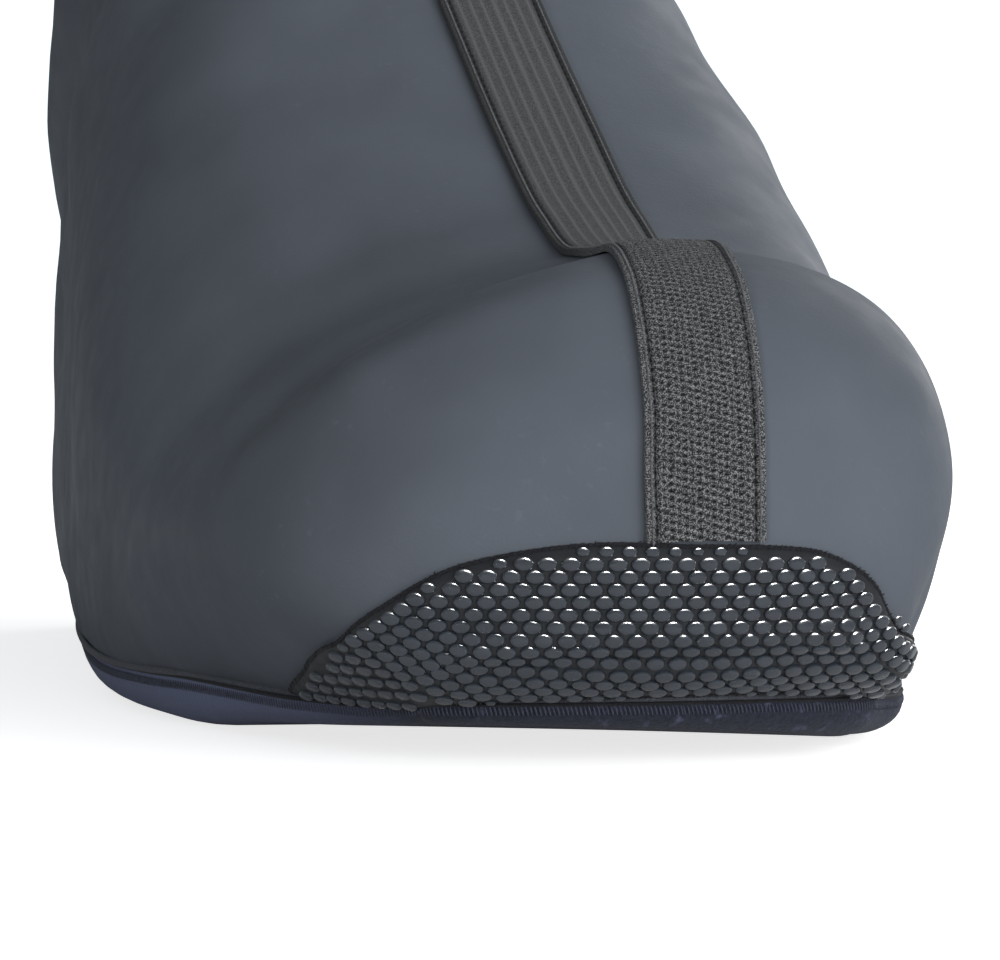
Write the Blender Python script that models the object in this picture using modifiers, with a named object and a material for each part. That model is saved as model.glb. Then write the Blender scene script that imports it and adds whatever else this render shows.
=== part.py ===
"""Cycling overshoe for the right foot.

A bootie upper with a hollow wall, a toe cap, an elastic front strip and a tray-shaped sole panel with
openings for the cleat and the heel. Metres, +Z up, the floor at z = 0, the toe towards -Y and the medial
side towards +X.
"""

import bpy
import bmesh
import numpy as np

MM = 0.001
OBJECT_NAME = "cycling_overshoe"

# Driving dimensions, in millimetres
LENGTH = 290.0
BALL_WIDTH = 120.0
COLLAR_HEIGHT = 202.0
WALL = 2.0
JOINT_GAP = 0.3
HEM_STEP = 0.8
CAP_THICKNESS = 1.3
CAP_RISE = 3.2
STRIP_WIDTH = 17.0
STRIP_THICKNESS = 1.2
SOLE_WALL = 2.2
SOLE_PROUD = 1.5
SOLE_EDGE_RISE = 0.75
SOLE_EDGE_SPREAD = 1.15
CLEAT_OPENING = (46.0, 52.0, 6.0)
CLEAT_CENTRE = (-2.0, 104.0)
HEEL_OPENING = (36.0, 32.0, 6.0)
HEEL_CENTRE = (0.0, 254.0)

# The pattern is drawn on this size and graded to the driving dimensions
PATTERN_LENGTH = 290.0
PATTERN_WIDTH = 120.0
PATTERN_HEIGHT = 202.0
MIDLINE_SHIFT = 0.5

# Hem line in plan: distance behind the toe tip, then the reach from the shoe's axis to each side
HEM_COLUMNS = ("back", "lateral", "medial")
HEM_ROWS = (
    (24.0, 29.8, 36.4),
    (30.0, 32.6, 39.0),
    (37.0, 36.4, 42.4),
    (47.0, 41.6, 45.5),
    (60.0, 47.0, 48.0),
    (90.0, 55.0, 51.0),
    (115.0, 58.0, 51.0),
    (150.0, 55.5, 47.0),
    (190.0, 47.5, 41.5),
    (230.0, 39.5, 38.5),
    (260.0, 33.5, 34.5),
    (275.0, 25.5, 27.0),
    (282.0, 16.5, 17.5),
    (285.0, 8.0, 8.0),
    (285.6, 0.0, 0.0),
)

# Sections fanned from the hem, and then from the back line, to the front centre line. base_* is the lower
# or rear end, ridge_* the front one, lateral and medial the widest reach, *_girth the share of the way up
# where it lies, *_crown the squareness above it, tuck the steepness with which the wall leaves the hem and
# lower the share of the section's run that lies below the girth.
SECTION_COLUMNS = (
    "base_back", "base_z", "ridge_x", "ridge_back", "ridge_z", "lateral", "medial",
    "lateral_girth", "medial_girth", "lateral_crown", "medial_crown", "tuck", "lower",
)
SECTION_ROWS = (
    (24.0, 8.5, 3.0, 12.5, 9.2, 30.1, 36.7, 0.1, 0.10, 1.75, 1.75, 0.9, 0.10),
    (26.0, 8.2, 3.0, 3.5, 18.0, 34.0, 37.4, 0.46, 0.50, 1.9, 2.2, 0.9, 0.28),
    (29.5, 7.8, 3.0, 1.5, 32.5, 42.5, 39.5, 0.44, 0.50, 1.85, 2.4, 0.9, 0.34),
    (36.5, 7.4, 3.5, 4.5, 49.0, 50.0, 44.6, 0.41, 0.50, 1.8, 2.4, 0.9, 0.36),
    (47.0, 7.4, 4.5, 12.0, 61.5, 54.5, 49.0, 0.38, 0.49, 1.74, 2.4, 0.9, 0.36),
    (60.0, 7.7, 6.0, 23.0, 69.5, 57.5, 51.5, 0.36, 0.48, 1.7, 2.5, 0.9, 0.36),
    (76.0, 8.0, 8.0, 38.0, 73.0, 59.5, 53.5, 0.355, 0.47, 1.68, 2.6, 0.9, 0.36),
    (94.0, 8.0, 8.5, 57.0, 72.0, 60.5, 55.5, 0.355, 0.46, 1.72, 2.8, 0.9, 0.36),
    (114.0, 8.0, 8.5, 75.0, 77.0, 60.5, 57.5, 0.37, 0.46, 1.85, 3.0, 0.9, 0.36),
    (138.0, 8.5, 8.0, 96.0, 90.0, 59.5, 59.8, 0.4, 0.46, 2.1, 3.0, 0.9, 0.36),
    (166.0, 9.5, 7.0, 116.0, 105.0, 57.0, 60.0, 0.43, 0.47, 2.3, 3.0, 0.9, 0.36),
    (196.0, 9.5, 6.0, 133.0, 119.0, 54.0, 58.0, 0.46, 0.48, 2.4, 2.8, 0.9, 0.36),
    (226.0, 9.0, 4.5, 147.0, 133.0, 50.2, 55.0, 0.48, 0.49, 2.4, 2.6, 0.8, 0.36),
    (252.0, 8.5, 3.0, 156.5, 144.0, 47.4, 51.8, 0.49, 0.49, 2.3, 2.4, 0.6, 0.36),
    (272.0, 8.0, 2.0, 163.0, 152.5, 45.2, 48.8, 0.50, 0.50, 2.2, 2.2, 0.3, 0.38),
    (285.6, 8.0, 1.0, 167.0, 159.0, 43.8, 46.6, 0.50, 0.50, 2.0, 2.0, 0.0, 0.42),
    (290.0, 36.0, 0.5, 170.0, 165.0, 43.2, 45.2, 0.50, 0.50, 2.0, 2.0, 0.0, 0.44),
    (289.5, 70.0, 0.0, 172.5, 171.0, 43.0, 44.5, 0.50, 0.50, 2.0, 2.0, 0.0, 0.46),
    (285.5, 104.0, 0.0, 174.7, 177.0, 43.2, 44.5, 0.50, 0.50, 2.0, 2.0, 0.0, 0.48),
    (281.8, 138.0, 0.0, 176.3, 182.5, 43.0, 43.6, 0.50, 0.50, 2.0, 2.0, 0.0, 0.50),
    (280.3, 168.0, 0.0, 177.4, 187.0, 42.6, 42.6, 0.50, 0.50, 2.0, 2.0, 0.0, 0.50),
    (280.0, 188.0, 0.0, 178.0, 190.5, 42.2, 42.2, 0.50, 0.50, 2.0, 2.0, 0.0, 0.50),
    (280.0, 202.0, 0.0, 178.0, 202.0, 42.0, 42.0, 0.50, 0.50, 2.0, 2.0, 0.0, 0.50),
)
HEEL_SECTION = 15
BEND_LIMIT = 0.8
HEM_STEP_RUN = 0.05
STRIP_END_MARGINS = (0.05, 0.03)

# Soft folds of the fabric: a line from one place on the skin to another, its reach to each side, its height
FOLD_COLUMNS = ("from_section", "from_side", "to_section", "to_side", "reach", "height")
FOLD_ROWS = (
    (6.4, -0.14, 5.6, -0.46, 11.0, -1.0),
    (5.0, -0.16, 4.8, -0.56, 13.0, 0.8),
    (7.2, 0.10, 7.2, 0.40, 11.0, -1.8),
    (13.2, -0.55, 13.8, -0.40, 17.0, 2.6),
)

# Upper edge of the toe cap: the side (-1 lateral hem, 0 centre line, 1 medial hem) and the section it reaches
CAP_COLUMNS = ("side", "section")
CAP_ROWS = (
    (-1.0, 4.00),
    (-0.9, 3.05),
    (-0.82, 2.50),
    (-0.74, 2.14),
    (-0.65, 2.02),
    (-0.54, 1.98),
    (-0.36, 2.06),
    (-0.2, 2.02),
    (0.0, 1.92),
    (0.17, 1.92),
    (0.29, 1.84),
    (0.39, 1.70),
    (0.47, 1.50),
    (0.56, 1.36),
    (0.7, 1.42),
    (0.85, 1.75),
    (1.0, 2.60),
)

# Underside of the sole along its length: toe spring, flat tread, arch, flat heel. roll is the slope across,
# which lifts the lateral side of the toe.
TREAD_COLUMNS = ("back", "z", "roll")
TREAD_ROWS = (
    (12.0, 5.4, -0.050),
    (20.0, 4.4, -0.050),
    (36.0, 2.9, -0.036),
    (55.0, 1.6, -0.028),
    (86.0, 0.0, 0.0),
    (130.0, 0.0, 0.0),
    (152.0, 1.2, 0.0),
    (178.0, 3.2, 0.0),
    (205.0, 2.4, 0.0),
    (232.0, 0.0, 0.0),
    (280.0, 0.0, 0.0),
    (290.0, 0.8, 0.0),
)

# Fineness of the solids
UPPER_ROWS = 44
UPPER_COLUMNS = 37
CAP_GRID = (37, 8)
STRIP_GRID = (44, 5)
SOLE_FRONT_POINTS = 8
SOLE_SIDE_POINTS = 34
SOLE_CROSS_POINTS = 7
CORNER_POINTS = 6
NORMAL_SMOOTHING = 3
RUN_SAMPLES = 161
HEM_EVENNESS = 0.35
HEM_BUNCHING = 1.2
SOLE_EDGE_POINTS = 4
UNDERSIDE_MARGIN = 3.0
CUTTER_DEPTH = 20.0


def table(columns, rows):
    """A table's columns by name."""
    return dict(zip(columns, np.array(rows, float).T))


HEM = table(HEM_COLUMNS, HEM_ROWS)
SECTION = table(SECTION_COLUMNS, SECTION_ROWS)
FOLD = table(FOLD_COLUMNS, FOLD_ROWS)
CAP = table(CAP_COLUMNS, CAP_ROWS)
TREAD = table(TREAD_COLUMNS, TREAD_ROWS)
LAST_SECTION = len(SECTION_ROWS) - 1
COLLAR_HEM_SECTION = LAST_SECTION - 1


def blend(knots, values, x):
    """Smooth curve through the knots that never overshoots them."""
    span = np.diff(knots)
    slope = np.diff(values) / span
    tangent = np.zeros(len(knots))
    tangent[0] = slope[0]
    tangent[-1] = slope[-1]
    for i in range(1, len(knots) - 1):
        if slope[i - 1] * slope[i] > 0.0:
            before = 2.0 * span[i] + span[i - 1]
            after = span[i] + 2.0 * span[i - 1]
            tangent[i] = (before + after) / (before / slope[i - 1] + after / slope[i])
    x = np.clip(x, knots[0], knots[-1])
    i = np.clip(np.searchsorted(knots, x, side="right") - 1, 0, len(knots) - 2)
    f = (x - knots[i]) / span[i]
    start = (1.0 + 2.0 * f) * (1.0 - f) ** 2 * values[i] + f * (1.0 - f) ** 2 * span[i] * tangent[i]
    end = f * f * (3.0 - 2.0 * f) * values[i + 1] + f * f * (f - 1.0) * span[i] * tangent[i + 1]
    return start + end


def section_value(name, u):
    """A column of the section table at the fractional section u."""
    return blend(np.arange(LAST_SECTION + 1.0), SECTION[name], u)


def plain_skin(u, side):
    """Unfolded outer surface in pattern millimetres, as (x, distance behind the toe, z)."""
    u, side = np.broadcast_arrays(np.asarray(u, float), np.asarray(side, float))
    base_back = section_value("base_back", u)
    base_z = section_value("base_z", u)
    ridge_x = section_value("ridge_x", u)
    run_back = section_value("ridge_back", u) - base_back
    run_z = section_value("ridge_z", u) - base_z
    rise = np.hypot(run_back, run_z)
    sign = np.where(side < 0.0, -1.0, 1.0)
    hem_lateral = blend(HEM["back"], HEM["lateral"], base_back)
    hem_medial = blend(HEM["back"], HEM["medial"], base_back)
    foot = np.where(u < HEEL_SECTION, np.where(side < 0.0, hem_lateral, hem_medial), 0.0)
    width = np.where(side < 0.0, section_value("lateral", u), section_value("medial", u))
    girth = np.where(side < 0.0, section_value("lateral_girth", u), section_value("medial_girth", u)) * rise
    up = 1.0 - np.abs(side)
    lower = section_value("lower", u)
    low = np.clip(up / lower, 0.0, 1.0)
    bend = np.minimum(section_value("tuck", u) * np.maximum(width - foot, 0.0), BEND_LIMIT * girth)
    low_x = sign * ((1.0 - low) ** 2 * foot + (2.0 * low - low * low) * width)
    low_h = 2.0 * low * (1.0 - low) * bend + low * low * girth
    angle = np.clip((up - lower) / (1.0 - lower), 0.0, 1.0) * np.pi / 2.0
    power = 2.0 / np.where(side < 0.0, section_value("lateral_crown", u), section_value("medial_crown", u))
    out = np.maximum(np.cos(angle), 0.0) ** power
    high_x = sign * width * out + ridge_x * (1.0 - out)
    high_h = girth + (rise - girth) * np.sin(angle) ** power
    x = np.where(up < lower, low_x, high_x)
    share = np.where(up < lower, low_h, high_h) / rise
    return np.stack([x, base_back + share * run_back, base_z + share * run_z], -1)


def outward(surface, u, side):
    """Unit normals of a surface function, pointing out of the shoe."""
    step_u = 0.02
    step_side = 0.006
    u_low = np.clip(u - step_u, 0.0, LAST_SECTION)
    u_high = np.clip(u + step_u, 0.0, LAST_SECTION)
    side_low = np.clip(side - step_side, -1.0, 1.0)
    side_high = np.clip(side + step_side, -1.0, 1.0)
    along = surface(u_high, side) - surface(u_low, side)
    across = surface(u, side_high) - surface(u, side_low)
    normal = np.cross(across, along)
    return normal / np.linalg.norm(normal, axis=-1, keepdims=True)


def fold_height(points):
    """Height of the fabric's folds at points of the skin."""
    total = np.zeros(points.shape[:-1])
    starts = plain_skin(FOLD["from_section"], FOLD["from_side"])
    ends = plain_skin(FOLD["to_section"], FOLD["to_side"])
    for start, end, reach, height in zip(starts, ends, FOLD["reach"], FOLD["height"]):
        line = end - start
        share = np.clip((points - start) @ line / (line @ line), 0.0, 1.0)
        distance = np.linalg.norm(points - start - share[..., None] * line, axis=-1)
        total += height * np.exp(-((distance / reach) ** 2))
    return total


def skin(u, side, lift=0.0):
    """Outer surface of the upper, raised by lift, in graded millimetres."""
    u, side = np.broadcast_arrays(np.asarray(u, float), np.asarray(side, float))
    points = plain_skin(u, side)
    height = fold_height(points) + lift
    points = points + outward(plain_skin, u, side) * height[..., None]
    grade = (BALL_WIDTH / PATTERN_WIDTH, LENGTH / PATTERN_LENGTH, COLLAR_HEIGHT / PATTERN_HEIGHT)
    return points * np.array(grade)


def place(points):
    """Metres in the shoe's frame, with the origin under the middle of its length and width."""
    return (points + np.array([MIDLINE_SHIFT, -LENGTH / 2.0, 0.0])) * MM


def cap_section(side):
    """Section that the toe cap's upper edge reaches."""
    return blend(CAP["side"], CAP["section"], side)


def clear_scene():
    for item in list(bpy.data.objects):
        bpy.data.objects.remove(item, do_unlink=True)


def new_collection(name):
    collection = bpy.data.collections.new(name)
    bpy.context.scene.collection.children.link(collection)
    return collection


def new_material(name, colour, roughness):
    material = bpy.data.materials.new(name)
    material.use_nodes = True
    shader = material.node_tree.nodes["Principled BSDF"]
    shader.inputs["Base Color"].default_value = (*colour, 1.0)
    shader.inputs["Roughness"].default_value = roughness
    shader.inputs["Metallic"].default_value = 0.0
    return material


def mesh_object(name, vertices, faces, collection, material):
    """Object from vertices and faces, with coinciding vertices joined."""
    mesh = bpy.data.meshes.new(name)
    mesh.from_pydata(vertices.tolist(), [], faces)
    work = bmesh.new()
    work.from_mesh(mesh)
    bmesh.ops.remove_doubles(work, verts=work.verts, dist=0.00001)
    work.to_mesh(mesh)
    work.free()
    mesh.shade_smooth()
    mesh.materials.append(material)
    item = bpy.data.objects.new(name, mesh)
    collection.objects.link(item)
    return item


def grid_faces(rows, columns):
    """Quads of a grid whose columns run across and whose rows run along."""
    faces = []
    for i in range(rows - 1):
        for j in range(columns - 1):
            corner = i * columns + j
            faces.append((corner, corner + 1, corner + columns + 1, corner + columns))
    return faces


def thicken(item, thickness, offset):
    """Turn an open surface into a wall: offset -1 grows inwards and 1 outwards."""
    modifier = item.modifiers.new("wall", "SOLIDIFY")
    modifier.thickness = thickness * MM
    modifier.offset = offset
    modifier.use_even_offset = True
    modifier.use_rim = True


def build_upper(collection):
    """Bootie wall from the hem to the collar, with a turned hem round the collar."""
    body = np.linspace(0.0, COLLAR_HEM_SECTION, UPPER_ROWS)
    hem = np.linspace(COLLAR_HEM_SECTION + HEM_STEP_RUN, LAST_SECTION, 3)
    u = np.concatenate([body, hem])[:, None]
    side = np.linspace(-1.0, 1.0, UPPER_COLUMNS)[None, :]
    lift = np.where(u > COLLAR_HEM_SECTION, HEM_STEP, 0.0) + np.zeros_like(side)
    points = place(skin(u, side, lift)).reshape(-1, 3)
    faces = grid_faces(u.size, side.size)
    material = new_material("coated_fabric", (0.058, 0.066, 0.084), 0.55)
    upper = mesh_object("upper", points, faces, collection, material)
    thicken(upper, WALL, -1.0)


def side_at(u, sign, start, reach):
    """Side value at a distance reach along the section u, measured on the skin from the side value start."""
    sides = sign * np.linspace(start, 0.5, RUN_SAMPLES)
    line = skin(np.full(sides.size, u), sides)
    run = np.concatenate([[0.0], np.cumsum(np.linalg.norm(np.diff(line, axis=0), axis=1))])
    return np.interp(reach, run, sides)


def cap_reach(u, sign):
    """Side value at which the toe cap ends above the hem, on the section u."""
    return abs(side_at(u, sign, 1.0, CAP_RISE))


def build_toe_cap(collection):
    """Reinforcement over the toe, from just above the hem to the arched edge."""
    columns, rows = CAP_GRID
    low = CAP_RISE / np.linalg.norm(plain_skin(1.0, 0.0) - plain_skin(0.0, 0.0))
    share = np.linspace(-1.0, 1.0, columns)[None, :]
    up = np.linspace(0.0, 1.0, rows)[:, None]
    u = low + up * (cap_section(share) - low)
    side = share * np.vectorize(cap_reach)(u, np.where(share < 0.0, -1.0, 1.0))
    points = place(skin(u, side, JOINT_GAP)).reshape(-1, 3)
    material = new_material("dotted_rubber", (0.11, 0.12, 0.13), 0.45)
    cap = mesh_object("toe_cap", points, grid_faces(rows, columns), collection, material)
    thicken(cap, CAP_THICKNESS, 1.0)


def build_front_strip(collection):
    """Elastic band up the front centre line, from the toe cap to the collar hem."""
    rows, columns = STRIP_GRID
    reaches = np.linspace(-STRIP_WIDTH / 2.0, STRIP_WIDTH / 2.0, columns)
    u = np.linspace(cap_section(0.0) + STRIP_END_MARGINS[0], COLLAR_HEM_SECTION - STRIP_END_MARGINS[1], rows)
    side = np.zeros((rows, columns))
    for i, section in enumerate(u):
        for j, reach in enumerate(reaches):
            side[i, j] = side_at(section, np.sign(reach), 0.0, abs(reach))
    points = place(skin(u[:, None], side, JOINT_GAP)).reshape(-1, 3)
    material = new_material("elastic_webbing", (0.075, 0.077, 0.080), 0.85)
    strip = mesh_object("front_strip", points, grid_faces(rows, columns), collection, material)
    thicken(strip, STRIP_THICKNESS, 1.0)


def hem_half(sign):
    """Hem line of one side from the toe's centre to the heel's centre."""
    front_side = sign * np.linspace(0.0, 1.0, SOLE_FRONT_POINTS)
    front = skin(np.zeros(SOLE_FRONT_POINTS), front_side)
    spread = np.linspace(0.0, 1.0, SOLE_SIDE_POINTS)[1:]
    bunched = np.sin(spread * np.pi / 2.0) ** HEM_BUNCHING
    sections = HEEL_SECTION * (HEM_EVENNESS * spread + (1.0 - HEM_EVENNESS) * bunched)
    rear = skin(sections, np.full(sections.size, sign))
    return np.concatenate([front, rear])


def tread_z(points):
    """Height of the sole's underside below points."""
    x, back = points[:, 0], points[:, 1]
    return blend(TREAD["back"], TREAD["z"], back) + x * blend(TREAD["back"], TREAD["roll"], back)


def rounded_box(name, size, centre, collection):
    """Upright cutter with a rounded rectangular outline."""
    width, length, radius = size
    outline = []
    for corner, (sign_x, sign_y) in enumerate(((1, 1), (-1, 1), (-1, -1), (1, -1))):
        for turn in np.linspace(0.0, np.pi / 2.0, CORNER_POINTS) + corner * np.pi / 2.0:
            x = centre[0] + sign_x * (width / 2.0 - radius) + radius * np.cos(turn)
            back = centre[1] + sign_y * (length / 2.0 - radius) + radius * np.sin(turn)
            outline.append((x, back, -CUTTER_DEPTH))
    mesh = bpy.data.meshes.new(name)
    work = bmesh.new()
    ring = [work.verts.new(point) for point in place(np.array(outline)).tolist()]
    bottom = work.faces.new(ring)
    grown = bmesh.ops.extrude_face_region(work, geom=[bottom])
    top = [part for part in grown["geom"] if isinstance(part, bmesh.types.BMVert)]
    bmesh.ops.translate(work, verts=top, vec=(0.0, 0.0, 2.0 * CUTTER_DEPTH * MM))
    bmesh.ops.recalc_face_normals(work, faces=work.faces)
    work.to_mesh(mesh)
    work.free()
    cutter = bpy.data.objects.new(name, mesh)
    cutter.hide_render = True
    cutter.display_type = "WIRE"
    collection.objects.link(cutter)
    return cutter


def build_sole_panel(collection, cutters):
    """Tray under the foot: upturned edge, toe spring, arch, and openings for the cleat and the heel."""
    lateral = hem_half(-1.0)
    medial = hem_half(1.0)
    loop = np.concatenate([lateral, medial[-2:0:-1]])
    count = len(loop)
    half = len(lateral)
    tangent = np.roll(loop, -1, axis=0) - np.roll(loop, 1, axis=0)
    normal = np.stack([tangent[:, 1], -tangent[:, 0], np.zeros(count)], -1)
    for _ in range(NORMAL_SMOOTHING):
        normal /= np.linalg.norm(normal, axis=1, keepdims=True)
        normal = normal + 0.5 * (np.roll(normal, 1, axis=0) + np.roll(normal, -1, axis=0))
    normal /= -np.linalg.norm(normal, axis=1, keepdims=True)
    wall = loop[:, 2] - JOINT_GAP - tread_z(loop)
    top = loop + SOLE_PROUD * normal
    top[:, 2] = loop[:, 2] - JOINT_GAP
    rings = [top]
    for turn in np.linspace(0.0, np.pi / 2.0, SOLE_EDGE_POINTS):
        inset = SOLE_EDGE_SPREAD * wall * (1.0 - np.cos(turn))
        ring = loop + (SOLE_PROUD - inset)[:, None] * normal
        ring[:, 2] = tread_z(ring) + SOLE_EDGE_RISE * wall * (1.0 - np.sin(turn))
        rings.append(ring)
    ring = ring - UNDERSIDE_MARGIN * normal
    ring[:, 2] = tread_z(ring)
    rings.append(ring)
    inner = rings[-1]
    across = []
    for i in range(1, half - 1):
        share = np.linspace(0.0, 1.0, SOLE_CROSS_POINTS + 2)[1:-1, None]
        row = inner[i] + share * (inner[count - i] - inner[i])
        row[:, 2] = tread_z(row)
        across.append(row)
    points = np.concatenate(rings + across)
    faces = []
    for r in range(len(rings) - 1):
        for i in range(count):
            j = (i + 1) % count
            faces.append((r * count + i, r * count + j, (r + 1) * count + j, (r + 1) * count + i))
    inner_start = (len(rings) - 1) * count
    across_start = len(rings) * count

    def bridge(i):
        """Vertices of the underside from the lateral edge to the medial one, at hem point i."""
        middle = [across_start + (i - 1) * SOLE_CROSS_POINTS + k for k in range(SOLE_CROSS_POINTS)]
        return [inner_start + i] + middle + [inner_start + count - i]

    for i in range(1, half - 2):
        here = bridge(i)
        there = bridge(i + 1)
        for k in range(len(here) - 1):
            faces.append((here[k], there[k], there[k + 1], here[k + 1]))
    for tip, row in ((inner_start, bridge(1)), (inner_start + half - 1, bridge(half - 2)[::-1])):
        for k in range(len(row) - 1):
            faces.append((tip, row[k], row[k + 1]))
    material = new_material("navy_sole_fabric", (0.022, 0.025, 0.040), 0.8)
    sole = mesh_object("sole_panel", place(points), faces, collection, material)
    thicken(sole, SOLE_WALL, -1.0)
    for name, size, centre in (("cleat_cutter", CLEAT_OPENING, CLEAT_CENTRE),
                               ("heel_cutter", HEEL_OPENING, HEEL_CENTRE)):
        cut = sole.modifiers.new(name, "BOOLEAN")
        cut.operation = "DIFFERENCE"
        cut.solver = "EXACT"
        cut.object = rounded_box(name, size, centre, cutters)


def main():
    clear_scene()
    parts = new_collection(OBJECT_NAME)
    cutters = new_collection("cutters")
    build_upper(parts)
    build_toe_cap(parts)
    build_front_strip(parts)
    build_sole_panel(parts, cutters)


main()
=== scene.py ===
"""Cycling overshoe for the right foot: fabric, rubber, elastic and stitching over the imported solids."""

import math

import bpy
import bmesh
import numpy as np
from mathutils import Matrix, Vector


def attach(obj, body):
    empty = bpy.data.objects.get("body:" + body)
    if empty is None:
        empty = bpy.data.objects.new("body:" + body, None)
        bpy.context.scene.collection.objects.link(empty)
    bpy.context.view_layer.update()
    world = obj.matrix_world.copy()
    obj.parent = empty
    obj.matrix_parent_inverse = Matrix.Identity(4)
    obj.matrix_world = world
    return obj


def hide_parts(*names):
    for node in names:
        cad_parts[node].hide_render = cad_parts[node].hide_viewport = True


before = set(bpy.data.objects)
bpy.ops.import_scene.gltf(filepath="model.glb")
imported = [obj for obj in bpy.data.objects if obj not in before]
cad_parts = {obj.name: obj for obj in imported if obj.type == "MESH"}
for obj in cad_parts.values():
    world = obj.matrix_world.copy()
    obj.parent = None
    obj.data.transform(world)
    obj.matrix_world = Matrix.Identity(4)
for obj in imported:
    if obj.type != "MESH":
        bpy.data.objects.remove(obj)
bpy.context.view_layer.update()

bl_info = {
    "name": "Cycling Overshoe",
    "version": (1, 0, 0),
    "blender": (4, 5, 0),
    "location": "View3D > Sidebar > Overshoe",
    "description": "Builds a cycling overshoe's fabric, toe cap, elastic strip, sole and seams",
    "category": "Add Mesh",
}

# Sizes in millimetres, as in the solids
MM = 0.001
LENGTH = 290.0
MIDLINE_SHIFT = 0.5
WALL = 2.0
JOINT_GAP = 0.3
HEM_STEP = 0.8
CAP_THICKNESS = 1.3
CAP_RISE = 3.2
STRIP_THICKNESS = 1.2
SOLE_WALL = 2.2

# Openings of the sole: width, length and corner radius, then the centre as x and distance behind the toe
SOLE_OPENINGS = {
    "cleat": ((46.0, 52.0, 6.0), (-2.0, 104.0)),
    "heel": ((36.0, 32.0, 6.0), (0.0, 254.0)),
}

# Shares and counts that shape the skin and the sole's rounded edge
HEEL_SECTION = 15
BEND_LIMIT = 0.8
SOLE_EDGE_RISE = 0.75
SOLE_EDGE_SPREAD = 1.15
SOLE_EDGE_UPRIGHT = 0.2
SOLE_EDGE_RINGS = 12
SOLE_CROSS_POINTS = 25
HEM_POINTS = 330
NORMAL_SMOOTHING = 110

# Upper: points of its grid, then the collar's rounded rim and the welt of the back seam in millimetres
UPPER_ROWS = 200
UPPER_HALF_COLUMNS = 76
COLLAR_ROWS = 10
COLLAR_ROUNDING = 0.35
WELT_HALF_WIDTH = 2.6
WELT_HEIGHT = 0.45
BACK_STITCH_REACH = 1.7

# Heights in millimetres between which the creases die out above the hem
CREASE_FREE_Z = 10.0
CREASE_FULL_Z = 24.0

# Raised dots: first row and clearance in millimetres, then the dome in shares of its radius and height
FIRST_DOT_ROW = 0.4
DOT_CLEARANCE = 0.6
DOT_FLATNESS = 0.72
DOT_SIDES = 16
DOT_PROFILE = ((1.0, -0.25), (0.98, 0.3), (0.91, 0.62), (0.78, 0.86), (0.6, 0.97), (0.3, 1.02))

# Elastic strip, in millimetres: the open knit ends between two distances from the strip's start
STRIP_RIBS = 7
STRIP_SELVEDGE = 1.7
CHANNEL_INSET = 1.5
NEEDLE_PITCH = 1.6
BEAD_INSET = 0.9
BEAD_PITCH = 0.85
OPEN_KNIT_END = (62.0, 84.0)
BEAD_LENGTH = 0.75
BEAD_SINK = 0.28

# Seams, in millimetres; the collar rows are shares of a section above the collar hem's lower edge
CAP_FUZZ_SEED = 7
CAP_LOOP_PITCH = 0.85
CAP_LOOP_LENGTH = 0.95
HEM_CORD_OUT = 0.75
HEM_CORD_UP = 0.3
HEM_LINE_RADIUS = 0.28
HEM_TOOTH_PITCH = 0.62
HEM_TOOTH_LENGTH = 1.35
STITCH_LENGTH = 1.5
COLLAR_ROW_RISES = (0.14, 0.28)
BINDING_OUT = 1.2
BINDING_PITCH = 1.3
BINDING_LENGTH = 2.2

# Stage: floor radius in metres, the surroundings' colour and shown strength, sensor width in millimetres
FLOOR_RADIUS = 9.0
WORLD_COLOUR = (0.86, 0.94, 1.0)
WORLD_SHOWN = 1.25
SENSOR_WIDTH = 36.0

# Hem in plan, in millimetres: distance behind the toe tip, reach to each side and the sole's stand-out
HEM_COLUMNS = ("back", "lateral", "medial", "proud")
HEM_ROWS = (
    (24.0, 29.8, 34.2, 1.6),
    (30.0, 32.6, 37.8, 2.0),
    (37.0, 36.4, 42.4, 2.4),
    (47.0, 41.6, 46.8, 2.4),
    (60.0, 47.0, 49.4, 1.8),
    (90.0, 55.0, 51.4, 0.8),
    (115.0, 56.8, 51.0, 0.4),
    (150.0, 53.9, 47.0, 0.3),
    (190.0, 46.9, 41.5, 0.4),
    (230.0, 39.5, 38.5, 0.5),
    (260.0, 33.5, 34.5, 0.5),
    (275.0, 25.5, 27.0, 0.5),
    (282.0, 16.5, 17.5, 0.5),
    (285.0, 8.0, 8.0, 0.5),
    (285.6, 0.0, 0.0, 0.5),
)

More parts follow.
